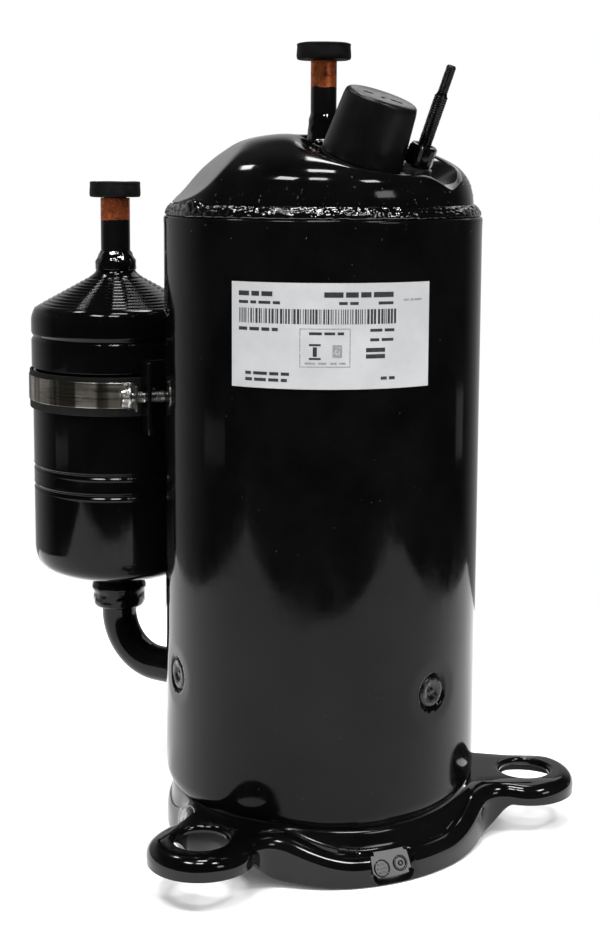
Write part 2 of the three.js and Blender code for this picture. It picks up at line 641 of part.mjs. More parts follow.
piece('vane', box(BORE_R + 0.15, 43, -1.5, 1.5, CYL_Z0 + 0.35, CYL_Z1 - 0.35).rotateZ(rad(VANE_AZ)), steel());
class Coil extends THREE.Curve {
  getPoint(t) {
    const a = t * 2 * Math.PI * 4.5;
    return new THREE.Vector3(3.2 * Math.cos(a), 3.2 * Math.sin(a), mix(43.9, 54.8, t));
  }
}
const wire = new THREE.Shape().absarc(0, 0, 0.5, 0, 2 * Math.PI, false);
piece('vane_spring', radial(tidy(new THREE.ExtrudeGeometry(wire, {
  steps: 36,
  curveSegments: 3,
  bevelEnabled: false,
  extrudePath: new Coil(),
})), VANE_AZ, (CYL_Z0 + CYL_Z1) / 2), steel());
piece('sub_bearing', cut(
  turned([
    [SHAFT_R + 0.3, 21], [13, 21], [14, 22], [14, 29.5], [38, 29.5], [38, CYL_Z0 - 0.3],
    [SHAFT_R + 0.3, CYL_Z0 - 0.3],
  ], 20),
  ...screwPlaces.map((p) => at(rod(2.8, 20, 40, 8), ...p)),
), iron());
screwPlaces.forEach((p, i) => piece(`pump_screw_${i + 1}`, at(turned([
  [0, 25.2], [4.2, 25.2], [4.2, 29.2], [2.45, 29.2], [2.45, 66], [0, 66],
], 8), ...p), steel()));
piece('discharge_reed', box(-10, 16, 21.6, 29.6, 69.8, 70.3), steel());
const stopShape = new THREE.Shape([
  new THREE.Vector2(16.6, 69.8), new THREE.Vector2(21, 69.8), new THREE.Vector2(21, 72.6),
  new THREE.Vector2(16, 72.6), new THREE.Vector2(-10, 77.4), new THREE.Vector2(-10, 75.8),
  new THREE.Vector2(16, 71), new THREE.Vector2(16.6, 71),
]);
const stop = tidy(new THREE.ExtrudeGeometry(stopShape, { depth: 8, bevelEnabled: false }));
piece('valve_stop', stop.rotateX(Math.PI / 2).translate(0, 29.6, 0), steel());
piece('muffler', turned([
  [15.6, 83], [36, 83], [38.6, 80.5], [38.6, 71], [42, 71], [42, 69.8], [37.4, 69.8], [37.4, 80],
  [35.5, 81.8], [15.6, 81.8],
], 20), iron());

// Leads from the upper winding head to the inside of the terminal.
const lead = new THREE.CatmullRomCurve3([
  new THREE.Vector3(36, -19, 205.4), new THREE.Vector3(34, -18.5, 211), new THREE.Vector3(20, -16, 221),
  new THREE.Vector3(6.8, -15.5, 230.5), new THREE.Vector3(8.2, -16.4, 235.1),
]);
const sleeve = new THREE.Shape().absarc(0, 0, 2.4, 0, 2 * Math.PI, false);
piece('lead_sleeve', tidy(new THREE.ExtrudeGeometry(sleeve, {
  steps: 14,
  curveSegments: 4,
  bevelEnabled: false,
  extrudePath: lead,
})), material('#d8d6cf', 0.7, 0));

export default compressor;
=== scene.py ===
"""Looks for the rotary compressor: every outside piece is rebuilt here in mesh code around the CAD frame.

Lengths are written in millimetres and turned into metres where a mesh is made.
"""

import random
from math import acos, atan2, ceil, cos, degrees, dist, exp, hypot, pi, radians, sin, sqrt, tau

import bmesh
import bpy
from mathutils import Matrix, Vector, noise


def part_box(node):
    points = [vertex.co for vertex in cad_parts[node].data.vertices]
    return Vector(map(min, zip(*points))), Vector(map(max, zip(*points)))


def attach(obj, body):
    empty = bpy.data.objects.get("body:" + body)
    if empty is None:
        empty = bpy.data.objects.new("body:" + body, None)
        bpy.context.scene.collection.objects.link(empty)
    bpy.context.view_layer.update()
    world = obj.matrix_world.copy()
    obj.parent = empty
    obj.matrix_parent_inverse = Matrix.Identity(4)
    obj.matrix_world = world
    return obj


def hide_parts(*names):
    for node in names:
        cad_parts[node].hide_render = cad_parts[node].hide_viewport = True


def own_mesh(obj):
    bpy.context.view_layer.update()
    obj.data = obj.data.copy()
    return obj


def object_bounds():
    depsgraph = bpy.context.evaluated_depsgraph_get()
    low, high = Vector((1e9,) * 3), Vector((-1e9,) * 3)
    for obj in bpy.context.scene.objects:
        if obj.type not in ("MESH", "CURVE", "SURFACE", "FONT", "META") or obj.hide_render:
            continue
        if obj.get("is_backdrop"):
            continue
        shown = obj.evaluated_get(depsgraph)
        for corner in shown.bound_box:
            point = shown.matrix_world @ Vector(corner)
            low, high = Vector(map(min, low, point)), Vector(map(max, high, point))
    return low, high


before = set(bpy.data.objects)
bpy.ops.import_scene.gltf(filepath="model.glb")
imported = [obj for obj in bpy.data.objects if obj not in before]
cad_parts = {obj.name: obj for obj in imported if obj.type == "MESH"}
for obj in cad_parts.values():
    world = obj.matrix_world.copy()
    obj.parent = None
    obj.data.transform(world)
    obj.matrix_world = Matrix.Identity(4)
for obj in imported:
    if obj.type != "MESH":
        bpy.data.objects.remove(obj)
CAD_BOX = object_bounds()

MM = 0.001


# ---- places taken from the CAD
def middle(node):
    """Middle of a CAD node's box, in mm."""
    lo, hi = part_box(node)
    return (lo + hi) / 2 / MM


shell_mid = middle("main_shell")
AXIS = Vector((shell_mid.x, shell_mid.y, 0))
acc_mid = middle("accumulator_lower_shell")
ACC = Vector((acc_mid.x, acc_mid.y, 0))
SHELL_AT = Matrix.Translation(AXIS)
ACC_AT = Matrix.Translation(ACC)
TERM_BASE = Vector((13.5, -19.8, 251.7))
TERM_AXIS = Vector((0.325, -0.21, 1)).normalized()
TERM_TURN = Vector((0, 0, 1)).rotation_difference(TERM_AXIS)
TERM_AT = Matrix.Translation(AXIS + TERM_BASE) @ TERM_TURN.to_matrix().to_4x4()

SHELL_R = 59
SHELL_BOTTOM_Z = 14.7
KNUCKLE_R = 10
CAP_R = 55.7
CAP_WALL = 3.2
CAP_SKIRT_Z = 214
CAP_LAND_Z = 259.4
STUD_OFFSET = 21.2
PCD_R = 79.3
FOOT_R = 19
FOOT_HOLE_R = 9.55
FOOT_TOP_Z = 20
FOOT_SKIRT_Z = 12.3
RING_R = 66
RING_TOP_Z = 10.5
NECK_FILLET_R = 10
BASE_EDGE_R = 5
BASE_WALL = 2.6
ACC_AZ = degrees(atan2(ACC.y - AXIS.y, ACC.x - AXIS.x))
SUCTION_Z = 47.5
SUCTION_R = 7.1
SUCTION_BEND = 20
WELD_PLUG_AZ = (-153.8, -45.3, 80)
WELD_PLUG_Z = 64
EAR_AZ = -69
HOOK_AZ = 17
STRAP_Z = 162.3
STRAP_HALF = 5
STRAP_WALL = 0.8


# ---- small maths
def mix(a, b, t):
    return a + (b - a) * t


def ramp(a, b, x):
    t = min(1, max(0, (x - a) / (b - a)))
    return t * t * (3 - 2 * t)


def bump_at(d, width):
    return exp(-((d / width) ** 2))


def polar(r, az):
    return r * cos(radians(az)), r * sin(radians(az))


def bearing(x, y):
    return degrees(atan2(y, x))


def arc(x, y, r, angles):
    """Points of a circle about (x, y)."""
    return [(x + r * cos(radians(a)), y + r * sin(radians(a))) for a in angles]


def height_on(curve, r):
    """Height at a radius on a curve of (r, z) points."""
    for (r0, z0), (r1, z1) in zip(curve, curve[1:]):
        if r <= r1:
            return mix(z0, z1, (r - r0) / (r1 - r0 + 1e-9))
    return curve[-1][1]


def turn_between(a, b):
    """Signed difference of two bearings in degrees."""
    return (a - b + 180) % 360 - 180


def grain(x, y, z, wave, seed=0.0):
    """Smooth noise from -1 to 1 with the given wavelength in mm."""
    return noise.noise(Vector((x / wave + seed, y / wave - seed, z / wave + 2 * seed)))


def bearings(count, fine=(), span=13, step=0.45):
    """Even bearings all round, with finer ones near the given places."""
    out = {round(360 * i / count, 3) for i in range(count)}
    for az in fine:
        n = int(span / step)
        out |= {round((az + step * k) % 360, 3) for k in range(-n, n + 1)}
    ordered = sorted(out)
    kept = [ordered[0]]
    for a in ordered[1:]:
        if a - kept[-1] > 0.12:
            kept.append(a)
    return kept


# ---- profiles
def soften(profile, radius=0, closed=False, steps=4):
    """Rounds the corners of an (r, z) profile. A point may carry its own radius as a third number."""
    pts = [(p[0], p[1], p[2] if len(p) > 2 else radius) for p in profile]
    out = []
    n = len(pts)
    for i, (r, z, cut) in enumerate(pts):
        end = not closed and i in (0, n - 1)
        if end or cut <= 0:
            out.append((r, z))
            continue
        here = Vector((r, z))
        a = Vector(pts[i - 1][:2]) - here
        b = Vector(pts[(i + 1) % n][:2]) - here
        t = min(cut, a.length * 0.49, b.length * 0.49)
        if t < 1e-4:
            out.append((r, z))
            continue
        p0, p1 = here + a.normalized() * t, here + b.normalized() * t
        for k in range(steps + 1):
            s = k / steps
            p = p0 * (1 - s) ** 2 + here * 2 * s * (1 - s) + p1 * s * s
            out.append((p.x, p.y))
    return out


def densify(profile, step, z0=-1e9, z1=1e9, r0=-1e9):
    """Adds points on long straight runs that lie between two heights."""
    out = [profile[0]]
    for a, b in zip(profile, profile[1:]):
        length = dist(a, b)
        inside = z0 <= min(a[1], b[1]) and max(a[1], b[1]) <= z1 and min(a[0], b[0]) >= r0
        n = max(1, ceil(length / step)) if inside else 1
        out += [(mix(a[0], b[0], k / n), mix(a[1], b[1], k / n)) for k in range(1, n + 1)]
    return out


def through(points, per_span):
    """A smooth curve through points of two or three numbers."""
    pts = [Vector(p) for p in points]
    out = []
    for i in range(len(pts) - 1):
        p0, p1, p2 = pts[max(0, i - 1)], pts[i], pts[i + 1]
        p3 = pts[min(len(pts) - 1, i + 2)]
        for k in range(per_span):
            t = k / per_span
            bend = (2 * p0 - 5 * p1 + 4 * p2 - p3) * t * t + (3 * p1 - 3 * p2 + p3 - p0) * t**3
            out.append(0.5 * (2 * p1 + (p2 - p0) * t + bend))
    return out + [pts[-1]]


# ---- mesh makers: (vertices, faces) in mm
def numbered(count, size):
    return [list(range(i * size, (i + 1) * size)) for i in range(count)]


def bridged(rings, loop=False):
    """Faces between neighbouring rings of vertex numbers. loop joins the last ring to the first."""
    faces = []
    for low, high in zip(rings, rings[1:] + rings[:1] if loop else rings[1:]):
        for i in range(len(low)):
            j = (i + 1) % len(low)
            face = list(dict.fromkeys((low[i], low[j], high[j], high[i])))
            if len(face) > 2:
                faces.append(face)
    return faces


def revolve(profile, azimuths=96, warp=None):
    """A closed body of revolution. The profile is a loop, or starts and ends on the axis."""
    if isinstance(azimuths, int):
        azimuths = [360 * i / azimuths for i in range(azimuths)]
    n = len(azimuths)
    open_ends = profile[0][0] < 1e-6 and profile[-1][0] < 1e-6
    verts, rings = [], []
    for r, z in profile:
        if r < 1e-6:
            rings.append([len(verts)] * n)
            verts.append((0, 0, z))
        else:
            rings.append(list(range(len(verts), len(verts) + n)))
            verts += [(*polar(r, az), z) for az in azimuths]
    if warp:
        verts = [warp(*v) for v in verts]
    return verts, bridged(rings, loop=not open_ends)


def sweep(path, radius, around=48, hollow=0.0):
    """A round bar along a path of points, or a pipe whose wall is hollow mm thick."""
    pts = [Vector(p) for p in path]
    tangents = [(b - a).normalized() for a, b in zip(pts[:1] + pts, pts[1:] + pts[-1:])]
    side = tangents[0].orthogonal().normalized()
    verts, inner = [], []
    for p, t in zip(pts, tangents):
        side = (side - t * side.dot(t)).normalized()
        up = t.cross(side)
        spokes = [side * cos(tau * k / around) + up * sin(tau * k / around) for k in range(around)]
        verts += [tuple(p + spoke * radius) for spoke in spokes]
        inner += [tuple(p + spoke * (radius - hollow)) for spoke in spokes]
    n = len(pts)
    if hollow:
        rings = numbered(2 * n, around)
        return verts + inner, bridged(rings[:n] + rings[:n - 1:-1], loop=True)
    first = len(verts)
    return verts + [tuple(pts[0]), tuple(pts[-1])], bridged(
        [[first] * around, *numbered(n, around), [first + 1] * around])


def ribbon(path, thick, z0, z1, rows=1):
    """A flat strip standing on edge along a plan path of (x, y) points; thick to its left side."""
    pts = [Vector(p) for p in path]
    verts = []
    for i, p in enumerate(pts):
        a, b = pts[max(0, i - 1)], pts[min(len(pts) - 1, i + 1)]
        t = (b - a).normalized()
        n = Vector((-t.y, t.x))
        before = (p - a).normalized() if i else t
        after = (b - p).normalized() if i < len(pts) - 1 else t
        stretch = 1 / max(0.5, cos(before.angle(after) / 2)) if before.length and after.length else 1
        q = p + n * thick * stretch
        verts += [(p.x, p.y, mix(z0, z1, k / rows)) for k in range(rows + 1)]
        verts += [(q.x, q.y, mix(z1, z0, k / rows)) for k in range(rows + 1)]
    w = 2 * (rows + 1)
    faces = bridged(numbered(len(pts), w))
    for base, way in ((0, 1), ((len(pts) - 1) * w, -1)):
        for k in range(rows):
            faces.append([base + k, base + k + 1, base + w - 2 - k, base + w - 1 - k][::way])
    return verts, faces


def slab(outline, z0, z1):
    """A flat plate from a plan outline."""
    verts = [(*p, z0) for p in outline] + [(*p, z1) for p in outline]
    low, high = numbered(2, len(outline))
    return verts, [low[::-1], high, *bridged([low, high])]


def curved_patch(r0, r1, az0, az1, z0, z1, step=1.5):
    """A thin closed patch that lies on a vertical cylinder."""
    n = max(2, ceil(abs(az1 - az0) / step))
    verts = []
    for i in range(n + 1):
        az = mix(az0, az1, i / n)
        verts += [(*polar(r, az), z) for r, z in ((r0, z0), (r1, z0), (r1, z1), (r0, z1))]
    rings = numbered(n + 1, 4)
    return verts, [rings[0][::-1], rings[-1], *bridged(rings)]


def together(*parts):
    verts, faces = [], []
    for v, f in parts:
        base = len(verts)
        verts += v
        faces += [[i + base for i in face] for face in f]
    return verts, faces


def moved(part, matrix):
    return [tuple(matrix @ Vector(v)) for v in part[0]], part[1]


def shifted(part, x, y, z=0):
    return moved(part, Matrix.Translation((x, y, z)))


def radial(az, z):
    """Turns a piece drawn along Z so that its Z points outward at a bearing and height."""
    return Matrix.Translation((0, 0, z)) @ Matrix.Rotation(radians(az), 4, "Z") @ Matrix.Rotation(pi / 2, 4, "Y")


# ---- making pieces
def shown(name, data):
    obj = bpy.data.objects.new(name, data)
    bpy.context.scene.collection.objects.link(obj)
    return obj


def solid(name, part, place):
    """Turns a part in mm into an object in metres, with its faces turned outward."""
    verts, faces = part
    mesh = bpy.data.meshes.new(name)
    mesh.from_pydata([tuple((place @ Vector(v)) * MM) for v in verts], [], faces)
    bm = bmesh.new()
    bm.from_mesh(mesh)
    bmesh.ops.remove_doubles(bm, verts=bm.verts, dist=1e-7)
    bmesh.ops.recalc_face_normals(bm, faces=bm.faces)
    bm.to_mesh(mesh)
    bm.free()
    return shown(name, mesh)


def smooth(mesh, crease):
    mesh.shade_smooth()
    mesh.set_sharp_from_angle(angle=radians(crease))


def make(name, part, mat, slot, place=SHELL_AT, body="housing", crease=32, bevel=0):
    obj = solid(name, part, place)
    smooth(obj.data, crease)
    obj.data.materials.append(mat)
    if bevel:
        soft = obj.modifiers.new("edge_rounding", "BEVEL")
        soft.width = bevel * MM
        soft.segments = 3
        soft.limit_method = "ANGLE"
        soft.angle_limit = radians(35)
        soft.harden_normals = False
    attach(obj, body)
    return obj


def skin(node, part, mat, slot, **more):
    """The visible piece that stands for one CAD node."""
    obj = make(f"{node}_visual", part, mat, slot, **more)
    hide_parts(node)
    return obj


# ---- materials
class Graph:
    """A node tree with short ways to add nodes and join them."""

    def __init__(self, tree):
        self.tree = tree

    def put(self, socket, value):
        if isinstance(value, bpy.types.NodeSocket):
            self.tree.links.new(value, socket)
        else:
            socket.default_value = value

    def add(self, kind, inputs=(), **settings):
        """Adds a node, sets and joins its inputs, and gives back its outputs."""
        node = self.tree.nodes.new("ShaderNode" + kind)
        for key, value in settings.items():
            setattr(node, key, value)
        for key, value in dict(inputs).items():
            self.put(node.inputs[key], value)
        return node.outputs

    def map(self, value, a, b, lo=0.0, hi=1.0):
        inputs = {"Value": value, "From Min": a, "From Max": b, "To Min": lo, "To Max": hi}
        return self.add("MapRange", inputs, interpolation_type="SMOOTHSTEP")["Result"]

    def math(self, operation, *values):
        return self.add("Math", enumerate(values), operation=operation)[0]

    def times(self, a, b):
        return self.math("MULTIPLY", a, b)

    def blend(self, factor, a, b):
        """Mix of two colours or two numbers."""
        colours = any(isinstance(v, tuple) or getattr(v, "type", "") == "RGBA" for v in (a, b))
        a, b = ((*v, 1.0) if isinstance(v, tuple) and len(v) == 3 else v for v in (a, b))
        if colours:
            return self.add("Mix", {0: factor, 6: a, 7: b}, data_type="RGBA")[2]
        return self.add("Mix", {0: factor, 2: a, 3: b}, data_type="FLOAT")[0]


class Finish(Graph):
    """A Principled material with procedural detail. Texture space is millimetres."""

    def __init__(self, name):
        self.mat = bpy.data.materials.new(name)
        self.mat.use_nodes = True
        super().__init__(self.mat.node_tree)
        self.shader = self.tree.nodes["Principled BSDF"]
        coords = self.add("TexCoord")["Object"]
        self.space = self.add("VectorMath", {0: coords, "Scale": 1000}, operation="SCALE")[0]
        self.last_normal = None

    def set(self, **values):
        names = {"color": "Base Color", "rough": "Roughness", "metal": "Metallic", "ior": "IOR",
                 "aniso": "Anisotropic"}
        for key, value in values.items():
            self.put(self.shader.inputs[names[key]], value)

    def noise(self, wave, detail=3.0, rough=0.5, stretch=None, warp=0.0):
        """Noise, 0 to 1, with a wavelength in mm. stretch lengthens it along x, y or z."""
        vector = self.space
        if stretch:
            vector = self.add("Mapping", {"Vector": vector, "Scale": tuple(1 / s for s in stretch)})[0]
        inputs = {"Vector": vector, "Scale": 1 / wave, "Detail": detail, "Roughness": rough, "Distortion": warp}
        return self.add("TexNoise", inputs)["Fac"]

    def cells(self, wave):
        return self.add("TexVoronoi", {"Vector": self.space, "Scale": 1 / wave})["Distance"]

    def axis(self, letter):
        return self.add("SeparateXYZ", {0: self.space})[letter.upper()]

    def worn(self, start=0.53, full=0.6):
        """1 on convex edges, broken up by noise."""
        edge = self.map(self.add("NewGeometry")["Pointiness"], start, full)
        return self.times(edge, self.map(self.noise(1.4, 5, 0.7), 0.42, 0.62))

    def relief(self, height, depth):
        """Adds a bump whose height is depth mm."""
        inputs = {"Strength": 1.0, "Distance": depth * MM, "Height": height}
        if self.last_normal:
            inputs["Normal"] = self.last_normal
        self.last_normal = self.add("Bump", inputs)[0]
        self.put(self.shader.inputs["Normal"], self.last_normal)


def gloss_paint(name, peel=0.006, wave=2.2, rough=(0.07, 0.16), dust=0.5, swell=0.03, ior=1.22):
    """Black dip paint: orange peel, slow swells, wiped dust, tiny nibs and thin edges."""
    f = Finish(name)
    cloud = f.noise(38, 4, 0.6)
    tone = f.blend(f.map(cloud, 0.35, 0.68), (0.0012, 0.0012, 0.0013), (0.0026, 0.0026, 0.0028))
    nibs = f.map(f.cells(3.1), 0.1, 0.04)
    speck = f.times(nibs, f.map(f.noise(9, 2), 0.56, 0.68))
    tone = f.blend(f.times(speck, dust), tone, (0.045, 0.045, 0.047))
    tone = f.blend(f.times(f.worn(), 0.35), tone, (0.03, 0.03, 0.031))
    smear = f.map(f.noise(16, 5, 0.65, stretch=(1, 1, 2.2), warp=0.6), 0.4, 0.72, rough[0], rough[1])
    f.set(color=tone, rough=f.math("ADD", smear, f.times(speck, 0.2)), ior=ior)
    f.relief(f.noise(24, 2, 0.5), swell)
    f.relief(f.noise(wave, 2, 0.5), peel)
    f.relief(speck, 0.02)
    return f.mat


def seam_paint():
    """Paint over a weld: lumpy and wet-looking, with specks where it runs thin."""
    f = Finish("weld_seam_paint")
    lump = f.noise(1.1, 3, 0.6, warp=0.4)
    thin = f.map(f.noise(0.8, 4, 0.7), 0.66, 0.74)
    tone = f.blend(thin, (0.0016, 0.0016, 0.0017), (0.03, 0.03, 0.029))
    f.set(color=tone, rough=f.map(lump, 0.35, 0.7, 0.04, 0.09), ior=1.6)
    f.relief(lump, 0.04)
    return f.mat


def plug_weld_iron():
    """The fused plug under paint: ripples round its middle and a patchy dark tone."""
    f = Finish("plug_weld_paint")
    rough = f.noise(1.7, 4, 0.6)
    tone = f.blend(f.map(rough, 0.4, 0.7), (0.002, 0.002, 0.0022), (0.009, 0.009, 0.0092))
    f.set(color=tone, rough=f.map(rough, 0.3, 0.7, 0.12, 0.4), ior=1.36)
    f.relief(rough, 0.22)
    f.relief(f.noise(0.5, 2), 0.03)
    return f.mat


def painted_copper(name, z0, z1):
    """Black paint below, bare copper between two heights: heat-stained, scuffed, ragged edges."""
    f = Finish(name)
    height = f.math("ADD", f.axis("z"), f.times(f.noise(2.6, 3, 0.6), 1.7))
    bare = f.times(f.map(height, z0 + 0.6, z0 + 1.1), f.map(height, z1 + 1.5, z1 + 0.9))
    stain = f.noise(3.4, 5, 0.66, warp=0.8)
    red = f.blend(f.map(stain, 0.36, 0.62), (0.18, 0.034, 0.011), (0.58, 0.155, 0.048))
    red = f.blend(f.map(f.noise(5.5, 4, 0.6), 0.54, 0.7), red, (0.10, 0.014, 0.018))
    drawn = f.noise(0.5, 3, 0.6, stretch=(1, 1, 14))
    f.set(
        color=f.blend(bare, (0.003, 0.003, 0.0032), red),
        metal=f.times(bare, f.map(stain, 0.3, 0.7, 0.55, 0.95)),
        rough=f.blend(bare, f.map(stain, 0.3, 0.7, 0.1, 0.22), f.map(drawn, 0.3, 0.7, 0.3, 0.52)),
        ior=1.38,
    )
    f.relief(f.times(bare, f.times(drawn, -1)), 0.02)
    f.relief(f.math("SUBTRACT", 1, bare), 0.06)
    f.relief(f.noise(2.0, 2), 0.02)
    return f.mat


def rubber(name, tone=0.008, grey=0.02):
    """Moulded rubber: fine tooth, patchy bloom and a scuffed rim."""
    f = Finish(name)
    bloom = f.noise(4.2, 5, 0.6)
    colour = f.blend(f.map(bloom, 0.45, 0.75), (tone, tone, tone), (grey, grey, grey * 0.97))
    colour = f.blend(f.times(f.worn(), 0.5), colour, (0.05, 0.05, 0.05))
    f.set(color=colour, rough=f.map(bloom, 0.3, 0.7, 0.55, 0.8), ior=1.28)
    f.relief(f.noise(0.35, 3), 0.03)
    f.relief(f.noise(2.5, 2), 0.05)
    return f.mat


def satin_plastic():
    """Charcoal moulded plastic: fine spark-eroded grain, faint flow clouding, rubbed rim."""
    f = Finish("cover_plastic")
    flow = f.noise(13, 4, 0.6, warp=0.9)
    colour = f.blend(f.map(flow, 0.35, 0.7), (0.0026, 0.0026, 0.0027), (0.0042, 0.0042, 0.0044))
    colour = f.blend(f.times(f.worn(0.52, 0.58), 0.45), colour, (0.05, 0.05, 0.052))
    f.set(color=colour, rough=f.map(flow, 0.3, 0.7, 0.3, 0.4), ior=1.3)
    f.relief(f.noise(0.42, 2), 0.018)
    f.relief(f.noise(9, 2), 0.05)
    return f.mat


def strap_steel():
    """Stainless band: rolled lines along its length, warm tone, dulled and slightly smeared, with painted
    reflection: dark streaks across the band.
    """
    f = Finish("strap_steel")
    lines = f.noise(0.9, 3, 0.6, stretch=(30, 30, 0.5))
    smear = f.noise(9, 4, 0.6)
    colour = f.blend(f.map(smear, 0.35, 0.7), (0.30, 0.275, 0.235), (0.47, 0.445, 0.40))
    # Painted reflection: dark vertical streaks across the band stand in for the reflections a polished strap shows.
    painted_reflection_bands = f.noise(7, 2, 0.5, stretch=(1, 1, 60))
    colour = f.blend(f.map(painted_reflection_bands, 0.46, 0.62), colour, (0.07, 0.062, 0.05))
    colour = f.blend(f.map(f.noise(1.6, 4, 0.7), 0.66, 0.78), colour, (0.08, 0.07, 0.06))
    f.set(color=colour, metal=1.0, rough=f.map(lines, 0.3, 0.7, 0.24, 0.42), aniso=0.5)
    f.relief(lines, 0.004)
    f.relief(f.noise(6, 2), 0.05)
    return f.mat


def zinc_steel():
    """Plated steel with handling marks."""
    f = Finish("screw_zinc")
    cloud = f.noise(3.5, 5, 0.62)
    colour = f.blend(f.map(cloud, 0.35, 0.7), (0.34, 0.34, 0.33), (0.62, 0.62, 0.6))
    f.set(color=colour, metal=1.0, rough=f.map(cloud, 0.3, 0.7, 0.4, 0.18))
    f.relief(f.noise(0.7, 3), 0.02)
    f.relief(cloud, 0.04)
    return f.mat


def label_film():
    """Printed polyester film: faint fibre and light handling smears."""
    f = Finish("label_film")
    smear = f.noise(21, 4, 0.6)
    colour = f.blend(f.map(smear, 0.35, 0.7), (0.335, 0.338, 0.345), (0.375, 0.38, 0.387))
    colour = f.blend(f.map(f.noise(1.2, 5, 0.7), 0.7, 0.8), colour, (0.28, 0.28, 0.28))
    f.set(color=colour, rough=f.map(smear, 0.3, 0.7, 0.34, 0.5), ior=1.45)
    f.relief(f.noise(0.8, 3), 0.008)
    f.relief(f.noise(17, 2), 0.05)
    return f.mat


def label_ink(name, tone):
    f = Finish(name)
    patchy = f.noise(0.7, 4, 0.65)
    light = tuple(v * 2.2 + 0.01 for v in tone)
    f.set(color=f.blend(f.map(patchy, 0.45, 0.75), tone, light), rough=f.map(patchy, 0.3, 0.7, 0.45, 0.6))
    f.relief(patchy, 0.006)
    return f.mat


def turned_metal(name, low, high, rough=(0.28, 0.5), metal=1.0, lay=(1, 1, 0.15)):
    """Machined or laminated metal for the sealed insides: tool lines and an oil film."""
    f = Finish(name)
    lines = f.noise(0.8, 3, 0.6, stretch=tuple(max(0.1, v * 6) for v in lay))
    film = f.noise(14, 4, 0.6)
    colour = f.blend(f.map(lines, 0.3, 0.7), low, high)
    colour = f.blend(f.times(f.map(film, 0.45, 0.7), 0.3), colour, tuple(v * 0.5 for v in low))
    f.set(color=colour, metal=metal, rough=f.map(lines, 0.3, 0.7, rough[0], rough[1]))
    f.relief(lines, 0.03)
    return f.mat


PAINT = gloss_paint("black_gloss_paint")
PRESS_PAINT = gloss_paint("pressed_part_paint", 0.008, 2.8, (0.06, 0.16), 0.7, 0.05, ior=1.26)
BASE_PAINT = gloss_paint("base_paint", 0.008, 2.8, (0.07, 0.17), 0.7, 0.05, ior=1.36)
TRIM_PAINT = gloss_paint("trim_paint", 0.015, 1.6, (0.09, 0.24), 0.6, 0.02, ior=1.28)
SEAM = seam_paint()
PLUG_WELD = plug_weld_iron()
TOP_COPPER = painted_copper("painted_copper_top", 279.6, 289.4)
SIDE_COPPER = painted_copper("painted_copper_side", 229.2, 238.4)
RUBBER = rubber("plug_rubber", 0.0012, 0.0042)
PAD = rubber("strap_pad_rubber", 0.0015, 0.004)
PLASTIC = satin_plastic()
STRAP = strap_steel()
ZINC = zinc_steel()
FILM = label_film()
INK = label_ink("label_ink", (0.012, 0.012, 0.013))
GREY_INK = label_ink("label_grey_ink", (0.16, 0.16, 0.165))


# ---- main shell
def shell_warp(x, y, z):
    """Dishes the wall at each plug weld and gives the drawn wall a slow unevenness."""
    r = hypot(x, y)
    if r < 40:
        return x, y, z
    az = bearing(x, y)
    out = r
    if r > 57.5 and 20 < z < 120:
        for place in WELD_PLUG_AZ:
            d = hypot(radians(turn_between(az, place)) * SHELL_R, z - WELD_PLUG_Z)
            if d < 16:
                out -= 1.5 * ramp(7.0, 5.7, d) + 0.42 * ramp(12.5, 6.2, d)
    if r > 57.5:
        out += 0.05 * grain(x, y, z * 0.6, 26) * ramp(15, 40, z)
        out += 0.12 * bump_at(z - 231.5, 2.2)
    return x * out / r, y * out / r, z


knee = arc(SHELL_R - KNUCKLE_R, SHELL_BOTTOM_Z + KNUCKLE_R, KNUCKLE_R, range(-90, 1, 6))
outer = [(0, SHELL_BOTTOM_Z), *knee, (SHELL_R, 50), (SHELL_R, 78), (SHELL_R, 232.7)]
outer = densify(outer, 0.7, 49.9, 78.1, 50)
outer = densify(outer, 4, 24, 232.7, 50)
outer = outer[:-1] + soften([(SHELL_R, 230), (SHELL_R, 232.7), (56, 232.7)], 1.4)[1:]
inner = [(56, 100), (56, 26), (54, 20), (48, 17.7), (0, 17.7)]
skin("main_shell", revolve(outer + inner, bearings(180, WELD_PLUG_AZ, 14, 0.7), shell_warp), PAINT, "black_paint")

for i, az in enumerate(WELD_PLUG_AZ):
    face = [(0, 57.9), (0.9, 57.8), (1.4, 57.3), (2.0, 57.4), (2.9, 58.1), (4.2, 58.35), (5.1, 58.2), (5.8, 57.5)]
    body = [(0, 56.6), (5.8, 56.6), *reversed(face)]

    def lumpy(x, y, z, seed=i):
        return x, y, z + (0.16 * grain(x, y, z, 2.2, seed) if z > 57 else 0)

    skin(f"plug_weld_{i + 1}", revolve(densify(body, 0.4, 57.0), 48, lumpy), PLUG_WELD, "weld_paint",
         place=SHELL_AT @ radial(az, WELD_PLUG_Z), crease=60)


# ---- top cap
def walled_at(x, y):
    """How much of the front wall stands at a place beside the terminal land, 0 to 1."""
    az = bearing(x - TERM_BASE.x, y - TERM_BASE.y)
    return 1 - ramp(75, 100, abs(turn_between(az, -115)))


def backed_at(x, y):
    """The same for the wall behind the stud."""
    az = bearing(x - TERM_BASE.x, y - TERM_BASE.y)
    return ramp(-25, 15, az) * (1 - ramp(100, 130, az))


def terminal_land(x, y):
    """The sloping land, which eases off towards the rim past the cover and rises to a wall in front."""
    level = hypot(TERM_AXIS.x, TERM_AXIS.y)
    down = (TERM_AXIS.x * (x - TERM_BASE.x) + TERM_AXIS.y * (y - TERM_BASE.y)) / level
    past = down - 17
    reach = hypot(x - TERM_BASE.x, y - TERM_BASE.y) - 17
    beyond = reach - 11
    wall = 0.27 * walled_at(x, y) * (reach + hypot(reach, 2))
    wall += 0.35 * backed_at(x, y) * (beyond + hypot(beyond, 2))
    return TERM_BASE.z - level / TERM_AXIS.z * (down - 0.275 * (past + hypot(past, 3))) + wall


